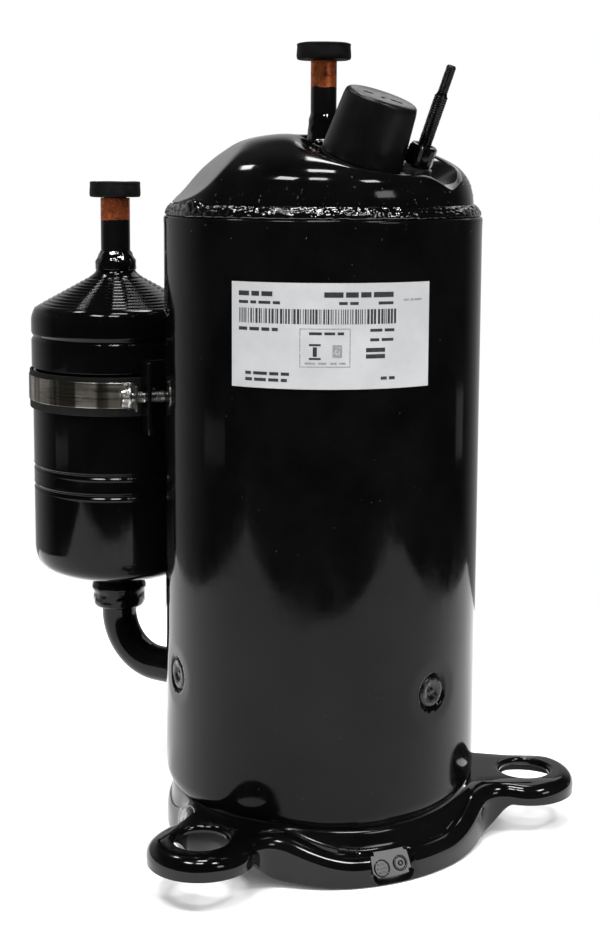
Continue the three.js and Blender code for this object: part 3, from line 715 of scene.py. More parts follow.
SIDE_AZ = radians(-167)
SIDE_SECTION = [
    (0, 263.4), (14, 263.1), (20.7, 262.4), (29.2, 260.3), (35.2, 255.9), (41, 250.4), (44.5, 246.6), (47.5, 243.3),
    (51, 240.3), (56, 237.3),
]
side_curve = [(p.x, p.y) for p in through(SIDE_SECTION, 6)]


def pressed_side(x, y):
    """The side of the dome that is pressed in: one section, run straight across."""
    d = max(0, x * cos(SIDE_AZ) + y * sin(SIDE_AZ))
    return height_on(side_curve, d)


def soft_min(a, b, k):
    return (a + b - hypot(a - b, k)) / 2


def cap_surface(x, y, z, drop=0.0):
    r = hypot(x, y)
    z = soft_min(z, mix(CAP_LAND_Z, 266, ramp(8.4, 16.5, r)) - drop, 1)
    z = soft_min(z, terminal_land(x, y) - drop * 1.07, mix(1.4, 3, walled_at(x, y)))
    return soft_min(z, pressed_side(x, y) - drop * 1.25, 0.9)


DOME = [
    (0, 263.3), (8.5, 263.3), (12.5, 263.3), (17, 263.1), (24, 262.3), (31, 260.5), (38, 257.6),
    (44.5, 254.4), (50, 250.6), (53.6, 246.2), (55.2, 241.4), (CAP_R, 237),
]
dome_curve = [(max(0, p.x), p.y) for p in through(DOME, 8)]
DOME_INSIDE = [
    (CAP_R, CAP_SKIRT_Z), (CAP_R - CAP_WALL, CAP_SKIRT_Z), (CAP_R - CAP_WALL, 236.6), (50.9, 242.6),
    (46, 248.4), (36, 254.1), (24, 258.4), (9, 260), (0, 260),
]


def cap_warp(x, y, z):
    if z < 236:
        return x, y, z
    inside = z < height_on(dome_curve, hypot(x, y)) - 1.5
    return x, y, cap_surface(x, y, z, CAP_WALL if inside else 0)


skin("top_cap", revolve(dome_curve + DOME_INSIDE, 288, cap_warp), PRESS_PAINT, "black_paint", crease=50)


def bead_warp(x, y, z):
    """Chevron ripples of a run of weld, with a lump where the run starts and ends."""
    az = bearing(x, y)
    r = hypot(x, y)
    if r < 56.2:
        return x, y, z
    ripple = sin(radians(az) * 57 * 4.1 + 1.8 * grain(x, y, z, 5))
    rise = 0.03 * ripple + 0.45 * grain(x, y, z * 2.2, 2.0) + 0.12 * grain(x, y, z * 1.6, 1.1, 8)
    rise += 0.25 * grain(x, y, z, 6, 3)
    start = bump_at(turn_between(az, -143), 5.5)
    out = min(59.3 - r, 0.55 * rise + 0.5 * start)
    lift = 0.75 * rise * ramp(233, 235, z) + 1.7 * start * ramp(233, 236, z)
    return x * (1 + out / r), y * (1 + out / r), z + lift


bead = soften(
    [(55.2, 232.2), (57.9, 232.5), (58.6, 233.3), (58.2, 234.6), (57.1, 236.1), (55.9, 237.1), (55.2, 236.6)],
    0.9, closed=True, steps=3,
)
bead = densify(bead, 0.35, r0=55.8)
skin("upper_weld_bead", revolve(bead, 900, bead_warp), SEAM, "weld_paint", crease=80)

chance = random.Random(41)
drops = []


def droplet(x, y, z, size, out):
    """A flattened bead of weld metal sitting on a surface whose outward direction is given."""
    ball = [(0, -size), (size * 0.7, -size * 0.7), (size, 0), (size * 0.75, size * 0.4), (0, size * 0.62)]
    spin = Vector((0, 0, 1)).rotation_difference(out).to_matrix().to_4x4()
    return moved(revolve(ball, 7), Matrix.Translation((x, y, z)) @ spin)


for _ in range(150):
    az = chance.uniform(0, 360)
    size = chance.uniform(0.16, 0.42) * (1.5 if chance.random() < 0.1 else 1)
    level = 238 + 9.5 * chance.random() ** 2.2
    r = next(mix(a[0], b[0], (a[1] - level) / (a[1] - b[1])) for a, b in zip(dome_curve, dome_curve[1:])
             if a[1] >= level >= b[1] and a[0] > 40)
    x, y = polar(r, az)
    z = cap_surface(x, y, level)
    if z > level - 1.2:
        drops.append(droplet(x, y, z, size, Vector((x / r, y / r, 0.5 * ramp(239, 248, level)))))
for _ in range(60):
    az = chance.uniform(0, 360)
    x, y = polar(SHELL_R, az)
    size = chance.uniform(0.14, 0.36)
    drops.append(droplet(x, y, chance.uniform(225.5, 231.5), size, Vector((x, y, 0))))
make("weld_spatter", together(*drops), SEAM, "weld_paint", crease=80)


# ---- mounting base
def half_sector(arc_steps, fillet_steps, ring_steps):
    reach, arm = RING_R + NECK_FILLET_R, FOOT_R + NECK_FILLET_R
    phi = acos((PCD_R**2 + reach**2 - arm**2) / (2 * PCD_R * reach))
    cx, cy = reach * cos(phi), reach * sin(phi)
    to_fillet = atan2(cy, cx - PCD_R)
    out = []
    for i in range(arc_steps):
        t = to_fillet * i / arc_steps
        out.append((PCD_R + FOOT_R * cos(t), FOOT_R * sin(t), cos(t), sin(t)))
    t0, t1 = to_fillet - pi, phi - pi
    for i in range(fillet_steps):
        t = mix(t0, t1, i / fillet_steps)
        x, y = cx + NECK_FILLET_R * cos(t), cy + NECK_FILLET_R * sin(t)
        out.append((x, y, -cos(t), -sin(t)))
    for i in range(ring_steps + 1):
        t = mix(phi, pi / 3, i / ring_steps)
        out.append((RING_R * cos(t), RING_R * sin(t), cos(t), sin(t)))
    return out


def base_outline():
    half = half_sector(44, 14, 30)
    mirrored = [(x, -y, nx, -ny) for x, y, nx, ny in half[1:-1]][::-1]
    out = []
    for k in range(3):
        c, s = cos(k * tau / 3), sin(k * tau / 3)
        for x, y, nx, ny in mirrored + half:
            out.append((x * c - y * s, x * s + y * c, nx * c - ny * s, nx * s + ny * c))
    return out


def footness(x, y):
    best = 0
    for k in range(3):
        c, s = cos(k * tau / 3), sin(k * tau / 3)
        if x * c + y * s > 0:
            best = max(best, ramp(46, 13, abs(y * c - x * s)))
    return best


def on_ray(px, py, ring_r, foot_r, ring_z, foot_z, drop):
    length = hypot(px, py)
    ux, uy = px / length, py / length
    s = footness(ux * ring_r, uy * ring_r)
    r = mix(ring_r, foot_r, s)
    return ux * r, uy * r, mix(ring_z, foot_z, s) - drop


def on_edge(p, inset, down, bottom):
    px, py, nx, ny = p
    s = footness(px, py)
    hem = mix(3.4 * s**1.2, FOOT_SKIRT_Z, ramp(65, 76, hypot(px, py)))
    return px - nx * inset, py - ny * inset, hem if bottom else mix(RING_TOP_Z, FOOT_TOP_Z, s) - down


CUT_BACK_R = 56.5


def cut_back(point, inner):
    """The ring is cut back close to the shell on the accumulator's side, midway between two feet."""
    x, y, z = point
    r = hypot(x, y)
    from_back = 180 - abs(bearing(x, y))
    keep = mix(0.06 if inner else 0.24, 1, ramp(26, 46, from_back))
    scale = (CUT_BACK_R + max(r - CUT_BACK_R, 0) * keep) / r
    return (x * scale, y * scale, z)


def base_column(p):
    """One section of the pressed base, from its inner collar over the top and down the skirt and back."""
    px, py = p[:2]
    collar = [
        (56.5, 58.7, 17.2, 20), (57.1, 59.0, 16.95, 20), (57.6, 59.4, 16.3, 20), (58.0, 59.7, 15.3, 20),
        (58.4, 60.0, 14.0, 20), (58.8, 60.3, 12.8, 20), (59.3, 60.7, 11.75, 20), (59.9, 61.0, 11.0, 20),
        (60.6, 61.5, 10.6, 20),
    ]
    rows = [on_ray(px, py, *c, 0) for c in collar]
    e, w = BASE_EDGE_R, BASE_WALL
    a, b = Vector(rows[-1]), Vector(on_edge(p, e, 0, False))
    rows += [tuple(a.lerp(b, k / 6)) for k in range(1, 6)]
    for k in range(9):
        t = radians(90 * k / 8)
        rows.append(on_edge(p, e * (1 - sin(t)), e * (1 - cos(t)), False))
    a, b = Vector(rows[-1]), Vector(on_edge(p, 0, 0, True))
    rows += [tuple(a.lerp(b, k / 3)) for k in range(1, 3)]
    rows += [tuple(a.lerp(b, 0.965)), on_edge(p, 0.25, 0, True), on_edge(p, w - 0.25, 0, True)]
    rows += [on_edge(p, *inset, False) for inset in ((w, e + 0.01), (mix(w, e, 0.6), mix(e, w, 0.5)), (e, w))]
    rows += [on_ray(px, py, 60.0, 61.5, 10.7, 20, w), on_ray(px, py, 58.2, 60.0, 9.6, 20 - w, 0)]
    rows.append(on_ray(px, py, 56.5, 58.7, 9.6, 20 - w, 0))
    return [cut_back(point, k > 26) for k, point in enumerate(rows)]


FACET_AZ, FACET_TILT, FACET_HALF = -65, radians(30), 7.6
FACET_R, FACET_Z = 63.2, 5.65
FACET_AT = radial(FACET_AZ, 0) @ Matrix.Rotation(-FACET_TILT, 4, "Y")
FACET_LEVEL = FACET_R * cos(FACET_TILT) + FACET_Z * sin(FACET_TILT)
FACET_X = FACET_R * sin(FACET_TILT) - FACET_Z * cos(FACET_TILT)


def coined(column):
    """Presses a small flat into the outside of the ring, and the inside of its wall with it."""
    out = []
    for k, point in enumerate(column):
        across, along, level = FACET_AT.inverted() @ Vector(point)
        if abs(along) < FACET_HALF and k > 9:
            level = min(level, FACET_LEVEL - (0 if k < 27 else 2.3))
        out.append(tuple(FACET_AT @ Vector((across, along, level))))
    return out


columns = [coined(base_column(p)) for p in base_outline()]
base_verts = [v for column in columns for v in column]
base_faces = bridged(numbered(len(columns), len(columns[0])), loop=True)
base = skin("mount_base", (base_verts, base_faces), BASE_PAINT, "black_paint", crease=40)


def hole_cutter():
    """Cuts the foot holes with softly rolled lips at both faces."""
    top, under, lip, burr = FOOT_TOP_Z, FOOT_TOP_Z - BASE_WALL, 1.7, 0.35
    quarter = range(180, 89, -10)
    high = arc(FOOT_HOLE_R + lip, top - lip, lip, quarter)
    low = arc(FOOT_HOLE_R + burr, under + burr, burr, [-a for a in quarter])
    profile = [(0, under - 6), (FOOT_HOLE_R + burr + 0.02, under - 6), *low[::-1], *high]
    profile += [(FOOT_HOLE_R + lip + 0.02, top + 6), (0, top + 6)]
    parts = [shifted(revolve(profile, 96), *polar(PCD_R, az)) for az in (0, 120, 240)]
    return solid("hole_cutter", together(*parts), SHELL_AT)


def carve(obj, cutter, crease):
    """Subtracts the cutter for good, then drops it."""
    hole = obj.modifiers.new("holes", "BOOLEAN")
    hole.operation = "DIFFERENCE"
    hole.solver = "EXACT"
    hole.object = cutter
    graph = bpy.context.evaluated_depsgraph_get()
    done = bpy.data.meshes.new_from_object(obj.evaluated_get(graph))
    obj.modifiers.clear()
    obj.data = done
    smooth(done, crease)
    bpy.data.objects.remove(cutter)
    flat = obj.modifiers.new("flat_faces", "WEIGHTED_NORMAL")
    flat.keep_sharp = True
    flat.weight = 80


carve(base, hole_cutter(), 40)


def ring_ridge(radius, half, height, x, y):
    """A low raised ring on the coined flat."""
    foot = [(radius - half, -0.5), (radius + half, -0.5)]
    crest = [(radius + half * 0.6, height), (radius - half * 0.6, height)]
    return shifted(revolve(soften(foot + crest, 0.15, closed=True, steps=2), 48), FACET_X + x, y, FACET_LEVEL)


def bar_ridge(x, y, length, width, height):
    w, h = length / 2, width / 2
    return shifted(slab([(-h, -w), (h, -w), (h, w), (-h, w)], -0.5, height), FACET_X + x, y, FACET_LEVEL)


stamp = [ring_ridge(2.8, 0.34, 0.4, 0.3, -3.9), bar_ridge(0.3, -3.9, 3.8, 0.5, 0.32),
         bar_ridge(-1.1, -3.9, 2.6, 0.5, 0.32), bar_ridge(1.7, -3.9, 2.6, 0.5, 0.32),
         ring_ridge(2.35, 0.55, 0.5, -0.4, 3.4), ring_ridge(0.75, 0.35, 0.4, -0.4, 3.6)]
make("base_stamp", together(*stamp), BASE_PAINT, "black_paint", place=SHELL_AT @ FACET_AT, crease=50, bevel=0.08)


# ---- discharge pipe, collar and plug
def braze_warp(seed, low, high, amount=0.28):
    def warp(x, y, z):
        r = hypot(x, y)
        if r < 1 or not low < z < high:
            return x, y, z
        k = 1 + amount * grain(x, y, z, 2.4, seed) * ramp(low, low + 1, z) / r
        return x * k, y * k, z

    return warp


pipe = [(3.8, 236), (4.8, 236, 0), (4.8, 289.2, 0.3), (3.8, 289.2, 0.3)]
skin("discharge_pipe", revolve(densify(soften(pipe), 3, 230, 290), 64), TOP_COPPER, "copper_pipe")
collar = densify(soften([
    (4.9, 259.0), (7.2, 259.1, 0.8), (6.0, 260.6, 1.2), (5.6, 266.0, 0.8), (5.4, 268.2, 0.8), (4.9, 270.0),
]), 0.5)
skin("discharge_collar", revolve(collar, 72, braze_warp(5, 259.3, 271, 0.3)), SEAM, "weld_paint", crease=70)


def plug_profile(stem_r, stem_z, under, flange_r, top):
    return soften([
        (0, stem_z), (stem_r, stem_z, 0.6), (stem_r, under - 0.01, 0.4), (flange_r - 0.3, under, 0.5),
        (flange_r, under + 1.2, 0.8), (flange_r - 0.25, top - 1.2, 0.6), (flange_r - 0.1, top - 0.35, 0.35),
        (flange_r - 0.8, top, 0.3), (flange_r - 2.0, top - 0.35, 0.6), (0, top - 0.5),
    ], 0.4)


def plug_warp(x, y, z):
    r = hypot(x, y)
    if r < 6:
        return x, y, z
    k = 1 + 0.1 * grain(x, y, z, 3.2) / r
    return x * k, y * k, z + 0.12 * grain(x, y, z, 5, 4) * ramp(6, 10, r)


skin("discharge_plug", revolve(plug_profile(3.4, 275, 289.5, 10.1, 295.5), 96, plug_warp), RUBBER, "plug_rubber",
     body="discharge_plug_body")

# ---- accumulator
cone = []
RIDGES = 11
for i in range(RIDGES * 6 + 1):
    t = i / (RIDGES * 6)
    wave = 0.16 * sin(tau * t * RIDGES) * ramp(0, 0.06, t) * ramp(1, 0.94, t)
    r, z = mix(31.4, 10.8, t), mix(194.6, 205.9, t)
    cone.append((r + wave * 0.48, z + wave * 0.88))
upper = soften([
    (31.0, 170.2), (34.3, 170.2, 0.5), (34.3, 181.2, 0.5), (33.35, 182.6, 0.7), (34.3, 184.0, 0.5),
    (34.3, 190.4, 3.0), (32.9, 193.7, 1.6),
], steps=5)
neck = soften([
    (10.8, 206.0), (9.3, 207.0, 1.0), (8.1, 208.2, 0.8), (7.6, 209.6), (6.0, 209.6), (6.0, 205.5),
    (9.4, 203.8, 1), (31, 191.9, 2), (32.0, 189.5),
])
skin("accumulator_upper_shell", revolve(upper + cone + neck, 180), PRESS_PAINT, "black_paint", place=ACC_AT,
     crease=60)

LOW_R = 33.9


def groove(z):
    return [(LOW_R, z + 1.9, 0.8), (LOW_R + 0.12, z + 1.1, 0.5), (33.1, z, 0.7), (LOW_R + 0.12, z - 1.1, 0.5),
            (LOW_R, z - 1.9, 0.8)]


lower = soften([
    (30.9, 177.5), (32.4, 177.5), (32.4, 169.8, 0.3), (LOW_R, 168.8, 0.5),
    *groove(129.8), *groove(121.9),
    (LOW_R, 94.5, 4), (32.2, 89.4, 3.5), (27.5, 86.3, 3), (14.5, 83.3, 3), (10.2, 81.0, 1.2), (9.6, 79.5, 0.4),
    (7.4, 79.5), (7.4, 82.4), (24, 86.9, 2), (31, 91.2, 2), (32.2, 96, 1), (30.9, 168),
], steps=6)
skin("accumulator_lower_shell", revolve(lower, 180), PRESS_PAINT, "black_paint", place=ACC_AT, crease=60)

inlet = [(4.9, 196), (5.9, 196), (5.9, 237.9, 0.3), (4.9, 237.9, 0.3)]
skin("inlet_pipe", revolve(densify(soften(inlet), 3, 190, 240), 64), SIDE_COPPER, "copper_pipe", place=ACC_AT)
inlet_collar = densify(soften([
    (6.0, 208.6), (8.3, 208.9, 0.6), (8.2, 212.6, 1.0), (7.2, 214.0, 1.0), (6.6, 215.6, 0.6), (6.0, 216.6),
]), 0.5)
skin("inlet_collar", revolve(inlet_collar, 72, braze_warp(9, 208.6, 217, 0.4)), SEAM, "weld_paint", place=ACC_AT,
     crease=70)
skin("inlet_plug", revolve(plug_profile(4.5, 224, 238.2, 10.3, 244.5), 96, plug_warp), RUBBER, "plug_rubber",
     place=ACC_AT, body="inlet_plug_body")

neck_collar = densify(soften([
    (7.2, 69.6), (9.7, 69.7, 0.8), (10.5, 71.2, 0.8), (10.4, 75.6, 0.6), (11.2, 77.8, 1.0), (10.2, 80.6, 0.8),
    (8.0, 81.4),
]), 0.6)
skin("accumulator_neck_collar", revolve(neck_collar, 72, braze_warp(2, 69.9, 81, 0.25)), TRIM_PAINT, "black_paint",
     place=ACC_AT, crease=60)

# ---- suction tube and its collar at the shell
inward = -(ACC - AXIS).normalized()
foot_of_acc = ACC - AXIS
tube_path = [foot_of_acc + Vector((0, 0, z)) for z in (176, 150, 120, 100, 84, 76, 70.5)]
for i in range(25):
    t = radians(90 * i / 24)
    p = foot_of_acc + inward * SUCTION_BEND * (1 - cos(t))
    tube_path.append(Vector((p.x, p.y, SUCTION_Z + SUCTION_BEND * (1 - sin(t)))))
for r in (72, 68, 62, 58, 50, 40):
    tube_path.append(Vector((*polar(r, ACC_AZ), SUCTION_Z)))
skin("suction_tube", sweep(tube_path, SUCTION_R, 56, hollow=1.3), TRIM_PAINT, "black_paint", crease=50)
collar_profile = densify(soften([
    (7.0, 57.5), (12.2, 57.8, 0.6), (11.4, 59.6, 1.2), (10.3, 61.0, 0.6), (9.5, 62.6, 0.8), (9.0, 65.6, 0.8),
    (7.0, 66.6, 0.4),
]), 0.6)


def suction_warp(x, y, z):
    r = hypot(x, y)
    sag = SHELL_R - sqrt(max(1, SHELL_R**2 - y * y))
    k = 1 + 0.3 * grain(x, y, z, 2.6, 7) * ramp(66.5, 64, z) / max(r, 1)
    return x * k, y * k, z - sag * ramp(62.6, 59.6, z)


skin("suction_collar", revolve(collar_profile, 96, suction_warp), SEAM, "weld_paint",
     place=SHELL_AT @ radial(ACC_AZ, SUCTION_Z), crease=70)

# ---- strap, pad, bracket and screw
pad = soften([(34.25, 154), (35.15, 154, 0.3), (35.15, 169.2, 0.3), (34.25, 169.2)], 0, closed=True, steps=2)
skin("strap_pad", revolve(pad, 144), PAD, "plug_rubber", place=ACC_AT)


def band_path(radius, start, end, tab, bend, step=2.0):
    """Plan path of a band on an arc, with a tab turned outward at each end over a small bend."""
    n = ceil(abs(end - start) / step)
    way = 1 if end > start else -1

    def ear(az, side):
        u = Vector(polar(1, az))
        t = Vector((-u.y, u.x)) * side
        out = []
        for k in range(1, 7):
            a = radians(90 * k / 6)
            out.append(u * (radius + bend * (1 - cos(a))) + t * bend * sin(a))
        corner = u * (radius + bend) + t * bend
        return out + [corner + u * (tab - radius - bend) * k / 3 for k in (1, 2, 3)]

    turn = degrees(bend / radius)
    band = [Vector(polar(radius, mix(start + way * turn, end - way * turn, k / n))) for k in range(n + 1)]
    first = ear(start + way * turn, -way)
    last = ear(end - way * turn, way)
    return first[::-1] + band + last


strap_path = band_path(35.5, EAR_AZ - 3, HOOK_AZ - 357, 45, 1.4)
strap_band = ribbon(strap_path, -STRAP_WALL, STRAP_Z - STRAP_HALF, STRAP_Z + STRAP_HALF, 4)
skin("strap", strap_band, STRAP, "strap_steel", place=ACC_AT, bevel=0.22)
bracket_path = band_path(35.6, EAR_AZ + 1.5, HOOK_AZ - 1.5, 46, 2.2)
skin("strap_bracket", ribbon(bracket_path, -1.6, 148, 176, 6), TRIM_PAINT, "black_paint", place=ACC_AT, bevel=0.5)

SCREW_AT = ACC_AT @ Matrix.Rotation(radians(EAR_AZ), 4, "Z") @ Matrix.Translation((40.6, 0, STRAP_Z))
SCREW_AT = SCREW_AT @ Matrix.Rotation(-pi / 2, 4, "X")


def hexed(apothem, top_z, low_z):
    """Limits the outer radius to a hexagon between two heights."""

    def warp(x, y, z):
        r = hypot(x, y)
        if r < 1e-6 or not low_z - 1e-6 <= z <= top_z + 1e-6:
            return x, y, z
        a = (bearing(x, y) + 360) % 60 - 30
        limit = apothem / cos(radians(a))
        k = min(1, limit / r)
        return x * k, y * k, z

    return warp


thread = [(2.3 - (0.28 if k % 2 else 0), -3.2 + 0.34 * k) for k in range(37)]
screw = [(0, -7.4), (1.6, -7.4), (1.9, -7.6), (3.5, -7.6), (3.9, -7.2), (3.9, -5.2), (4.6, -5.1), (4.7, -4.5),
         (4.6, -4.2), (2.3, -4.2), *thread, (1.8, 9.6), (0, 9.6)]
skin("strap_screw", revolve(screw, 72, hexed(3.45, -5.15, -7.65)), ZINC, "strap_steel", place=SCREW_AT, crease=30)

# ---- terminal cover, stud and nut
way = Vector((19, 7, terminal_land(TERM_BASE.x + 19, TERM_BASE.y + 7) - TERM_BASE.z))
way.rotate(TERM_TURN.inverted())
STUD_AZ = bearing(way.x, way.y)
STUD_AT = TERM_AT @ Matrix.Translation((*polar(STUD_OFFSET, STUD_AZ), 0))

gasket = soften([(12.9, 0.4), (14.8, 0.4), (14.8, 1.5), (12.9, 1.5)], 0.25, closed=True, steps=2)
skin("cover_gasket", revolve(gasket, 96), PAD, "plug_rubber", place=TERM_AT, body="terminal_cover_body")

cup = soften([
    (0, 24.95), (8.4, 25.0, 0.8), (10.6, 25.35, 0.5), (11.6, 25.4, 0.6), (13.05, 24.7, 0.9), (13.5, 22.6, 2.0),
    (15.0, 1.8, 0.25), (13.2, 1.8, 0.25), (11.7, 22.6, 1.2), (0, 22.9),
], 0.4, steps=6)
cup = densify(cup, 3)
EAR_R, EAR_HOLE_R, EAR_ROOT, EAR_Z = 5.6, 3.1, 14, (1.8, 4.3)
ear = [(EAR_ROOT, -EAR_R), (STUD_OFFSET, -EAR_R)]
ear += arc(STUD_OFFSET, 0, EAR_R, range(-80, 81, 10))
ear += [(STUD_OFFSET, EAR_R), (EAR_ROOT, EAR_R)]
hole = arc(STUD_OFFSET, 0, EAR_HOLE_R, range(0, 360, 15))


def ear_plate():
    """The ear with its stud hole, as one closed plate."""
    bm = bmesh.new()
    loops = []
    for outline in (ear, hole):
        ring = [bm.verts.new((*p, EAR_Z[0])) for p in outline]
        loops.append(ring)
        for a, b in zip(ring, ring[1:] + ring[:1]):
            bm.edges.new((a, b))
    bmesh.ops.triangle_fill(bm, edges=bm.edges[:], use_beauty=True)
    top = bmesh.ops.extrude_face_region(bm, geom=bm.faces[:])
    for v in top["geom"]:
        if isinstance(v, bmesh.types.BMVert):
            v.co.z = EAR_Z[1]
    bm.verts.index_update()
    part = ([tuple(v.co) for v in bm.verts], [[v.index for v in f.verts] for f in bm.faces])
    bm.free()
    return moved(part, Matrix.Rotation(radians(STUD_AZ), 4, "Z"))


def top_mark(x, y, length, angle):
    """A low moulded dash on the top of the cover."""
    outline = []
    for a in range(0, 360, 30):
        side = length / 2 if cos(radians(a)) >= 0 else -length / 2
        outline.append((side + 0.5 * cos(radians(a)), 0.5 * sin(radians(a))))
    spin = Matrix.Translation((x, y, 0)) @ Matrix.Rotation(radians(angle), 4, "Z")
    return moved(slab(outline, 24.7, 25.2), spin)


marks = [top_mark(-5.2, 0.6, 2.6, 10), top_mark(0.4, -0.6, 0.5, 0), top_mark(5.2, 0.2, 3.4, -12)]
skin("terminal_cover", together(revolve(cup, 128), ear_plate(), *marks), PLASTIC, "cover_plastic", place=TERM_AT,
     body="terminal_cover_body", crease=34)


def threads(z, end, pitch, crest, root, flat, flank):
    """Rounds of thread between two heights, as profile points."""
    out = []
    while z < end:
        out += [(crest, z), (crest, z + flat), (root, z + flank)]
        z += pitch
    return out


stud = [(0, 0.3), (3.0, 0.3), (3.0, 1.2), (2.45, 1.8)]
stud += threads(2.2, 30.4, 0.85, 2.45, 2.26, 0.25, 0.5)
stud += [(2.3, 30.6), (1.85, 31.5)]
stud += threads(31.9, 41.3, 0.7, 1.8, 1.6, 0.22, 0.42)
stud += [(1.7, 41.6), (1.3, 42.1), (0, 42.2)]


def stud_warp(x, y, z):
    r = hypot(x, y)
    if r < 1:
        return x, y, z
    k = 1 + 0.1 * grain(x, y, z, 1.5, 2) / r
    return x * k, y * k, z


skin("cover_stud", revolve(stud, 36, stud_warp), TRIM_PAINT, "black_paint", place=STUD_AT, crease=50)
nut = [(2.8, 4.7), (4.6, 4.7), (5.5, 5.3), (5.5, 11.5), (4.5, 12.35), (3.3, 12.4), (2.8, 12.0)]
skin("cover_nut", revolve(nut, 96, hexed(5.5 * cos(pi / 6), 13, 4)), TRIM_PAINT, "black_paint",
     place=STUD_AT @ Matrix.Rotation(radians(STUD_AZ), 4, "Z"), body="cover_nut_body", crease=28)

# ---- name label: film, and generic print with no words
LABEL = (-120.4, -51.0, 175.5, 211.6)
FILM_R = (59.15, 59.52)
INK_R = (59.50, 59.56)
skin("name_label", curved_patch(*FILM_R, *LABEL, step=1.0), FILM, "label_film", crease=40)


def printed(u0, u1, v0, v1):
    """A patch of ink; u runs across the label and v down from its top, both 0 to 1."""
    az = (mix(LABEL[0], LABEL[1], u0), mix(LABEL[0], LABEL[1], u1))
    z = (mix(LABEL[3], LABEL[2], v1), mix(LABEL[3], LABEL[2], v0))
    return curved_patch(*INK_R, *az, *z, step=1.2)


def dashes(u, v, widths, height, gap=0.012):
    """A line of print reduced to plain dashes."""
    out = []
    for w in widths:
        out.append(printed(u, u + w, v, v + height))
        u += w + gap
    return out


PRINT = (
    (0.04, 0.085, (0.055, 0.04, 0.055), 0.045),
    (0.46, 0.085, (0.09, 0.06, 0.05, 0.10), 0.05),
    (0.04, 0.175, (0.05, 0.03, 0.06, 0.035), 0.028),
    (0.53, 0.175, (0.04, 0.04), 0.028),
    (0.72, 0.175, (0.075,), 0.028),
    (0.04, 0.425, (0.045, 0.05, 0.04, 0.03), 0.032),
    (0.68, 0.43, (0.06, 0.05), 0.028),
    (0.68, 0.52, (0.045, 0.06), 0.028),
    (0.075, 0.845, (0.03, 0.07, 0.045, 0.04), 0.03),
    (0.075, 0.905, (0.035, 0.06, 0.05, 0.03), 0.03),
    (0.735, 0.885, (0.03, 0.03), 0.03),
    (0.39, 0.46, (0.06, 0.05, 0.03), 0.026),
)
black = [patch for line in PRINT for patch in dashes(*line)]
u = 0.042
while u < 0.80:
    w = chance.choice((0.0035, 0.005, 0.008, 0.011))
    black.append(printed(u, u + w, 0.245, 0.385))
    u += w + chance.choice((0.0045, 0.006, 0.009))
black += [printed(0.39, 0.445, 0.57, 0.59), printed(0.39, 0.445, 0.70, 0.72), printed(0.408, 0.427, 0.60, 0.69)]
black += [printed(0.66, 0.755, 0.61, 0.65), printed(0.66, 0.755, 0.67, 0.71)]
make("label_print", together(*black), INK, "label_film", crease=40)
grey = [
    printed(0.345, 0.585, 0.425, 0.433), printed(0.345, 0.585, 0.783, 0.791),
    printed(0.345, 0.349, 0.433, 0.783), printed(0.581, 0.585, 0.433, 0.783),
    *dashes(0.85, 0.155, (0.03, 0.02, 0.04), 0.02, 0.006),
    *dashes(0.37, 0.745, (0.05, 0.04), 0.018),
    *dashes(0.49, 0.745, (0.03, 0.03), 0.018),
    printed(0.50, 0.545, 0.58, 0.70),
]
make("label_print_grey", together(*grey), GREY_INK, "label_film", crease=40)

# ---- finishes of the CAD nodes that stay
IRON = turned_metal("pump_iron", (0.16, 0.16, 0.165), (0.27, 0.27, 0.28), (0.4, 0.62))
STEEL = turned_metal("pump_steel", (0.42, 0.42, 0.43), (0.62, 0.62, 0.63), (0.16, 0.34))
CORE = turned_metal("core_steel", (0.12, 0.125, 0.14), (0.24, 0.245, 0.26), (0.35, 0.6), lay=(4, 4, 0.08))
COPPER = turned_metal("winding_copper", (0.30, 0.075, 0.025), (0.62, 0.24, 0.10), (0.2, 0.4), lay=(1, 1, 1))
CAST = turned_metal("cast_aluminium", (0.48, 0.49, 0.50), (0.68, 0.69, 0.70), (0.35, 0.6), lay=(2, 2, 2))
BRASS = turned_metal("weight_brass", (0.42, 0.29, 0.10), (0.66, 0.48, 0.20), (0.25, 0.42))
SLEEVE = turned_metal("lead_sleeving", (0.52, 0.50, 0.44), (0.68, 0.66, 0.60), (0.6, 0.8), 0.0, (1, 1, 1))
TERMINAL = turned_metal("terminal_steel", (0.30, 0.30, 0.30), (0.48, 0.48, 0.47), (0.3, 0.5), lay=(1, 1, 1))
DARK_PLASTIC = rubber("connector_plastic", 0.012, 0.03)
KEPT = {
    IRON: ("main_bearing", "cylinder", "sub_bearing", "muffler"),
    STEEL: ("crankshaft", "roller", "vane", "discharge_reed", "valve_stop", "oil_paddle", "accumulator_screen",
            "accumulator_baffle", *(f"pump_screw_{i}" for i in (1, 2, 3, 4))),
    CORE: ("stator_core", "rotor_core"),
    COPPER: ("stator_winding", "terminal_pin_1", "terminal_pin_2", "terminal_pin_3"),
    CAST: ("rotor_ring_lower", "rotor_ring_upper"),
    BRASS: ("balance_weight_lower", "balance_weight_upper"),
    SLEEVE: ("lead_sleeve",),
    TERMINAL: ("terminal_body",),
    DARK_PLASTIC: ("terminal_connector",),
}

# The vane's spring: one fixed coil of wire laid along the vane's bearing.
VANE_AZ, VANE_Z = 120, 47.5
COIL_R, COIL_TURNS, COIL_IN, COIL_OUT, WIRE_R = 3.2, 4.5, 43.9, 54.8, 0.5
coil = [(*polar(COIL_R, 360 * COIL_TURNS * k / 144), mix(COIL_IN, COIL_OUT, k / 144)) for k in range(145)]
vane_spring = skin("vane_spring", moved(sweep(coil, WIRE_R, 12), radial(VANE_AZ, VANE_Z)), STEEL, "pump_steel")
spring_seat = SHELL_AT @ Vector((*polar(COIL_OUT + WIRE_R, VANE_AZ), VANE_Z)) * MM
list(polar(1, VANE_AZ))
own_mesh(vane_spring)

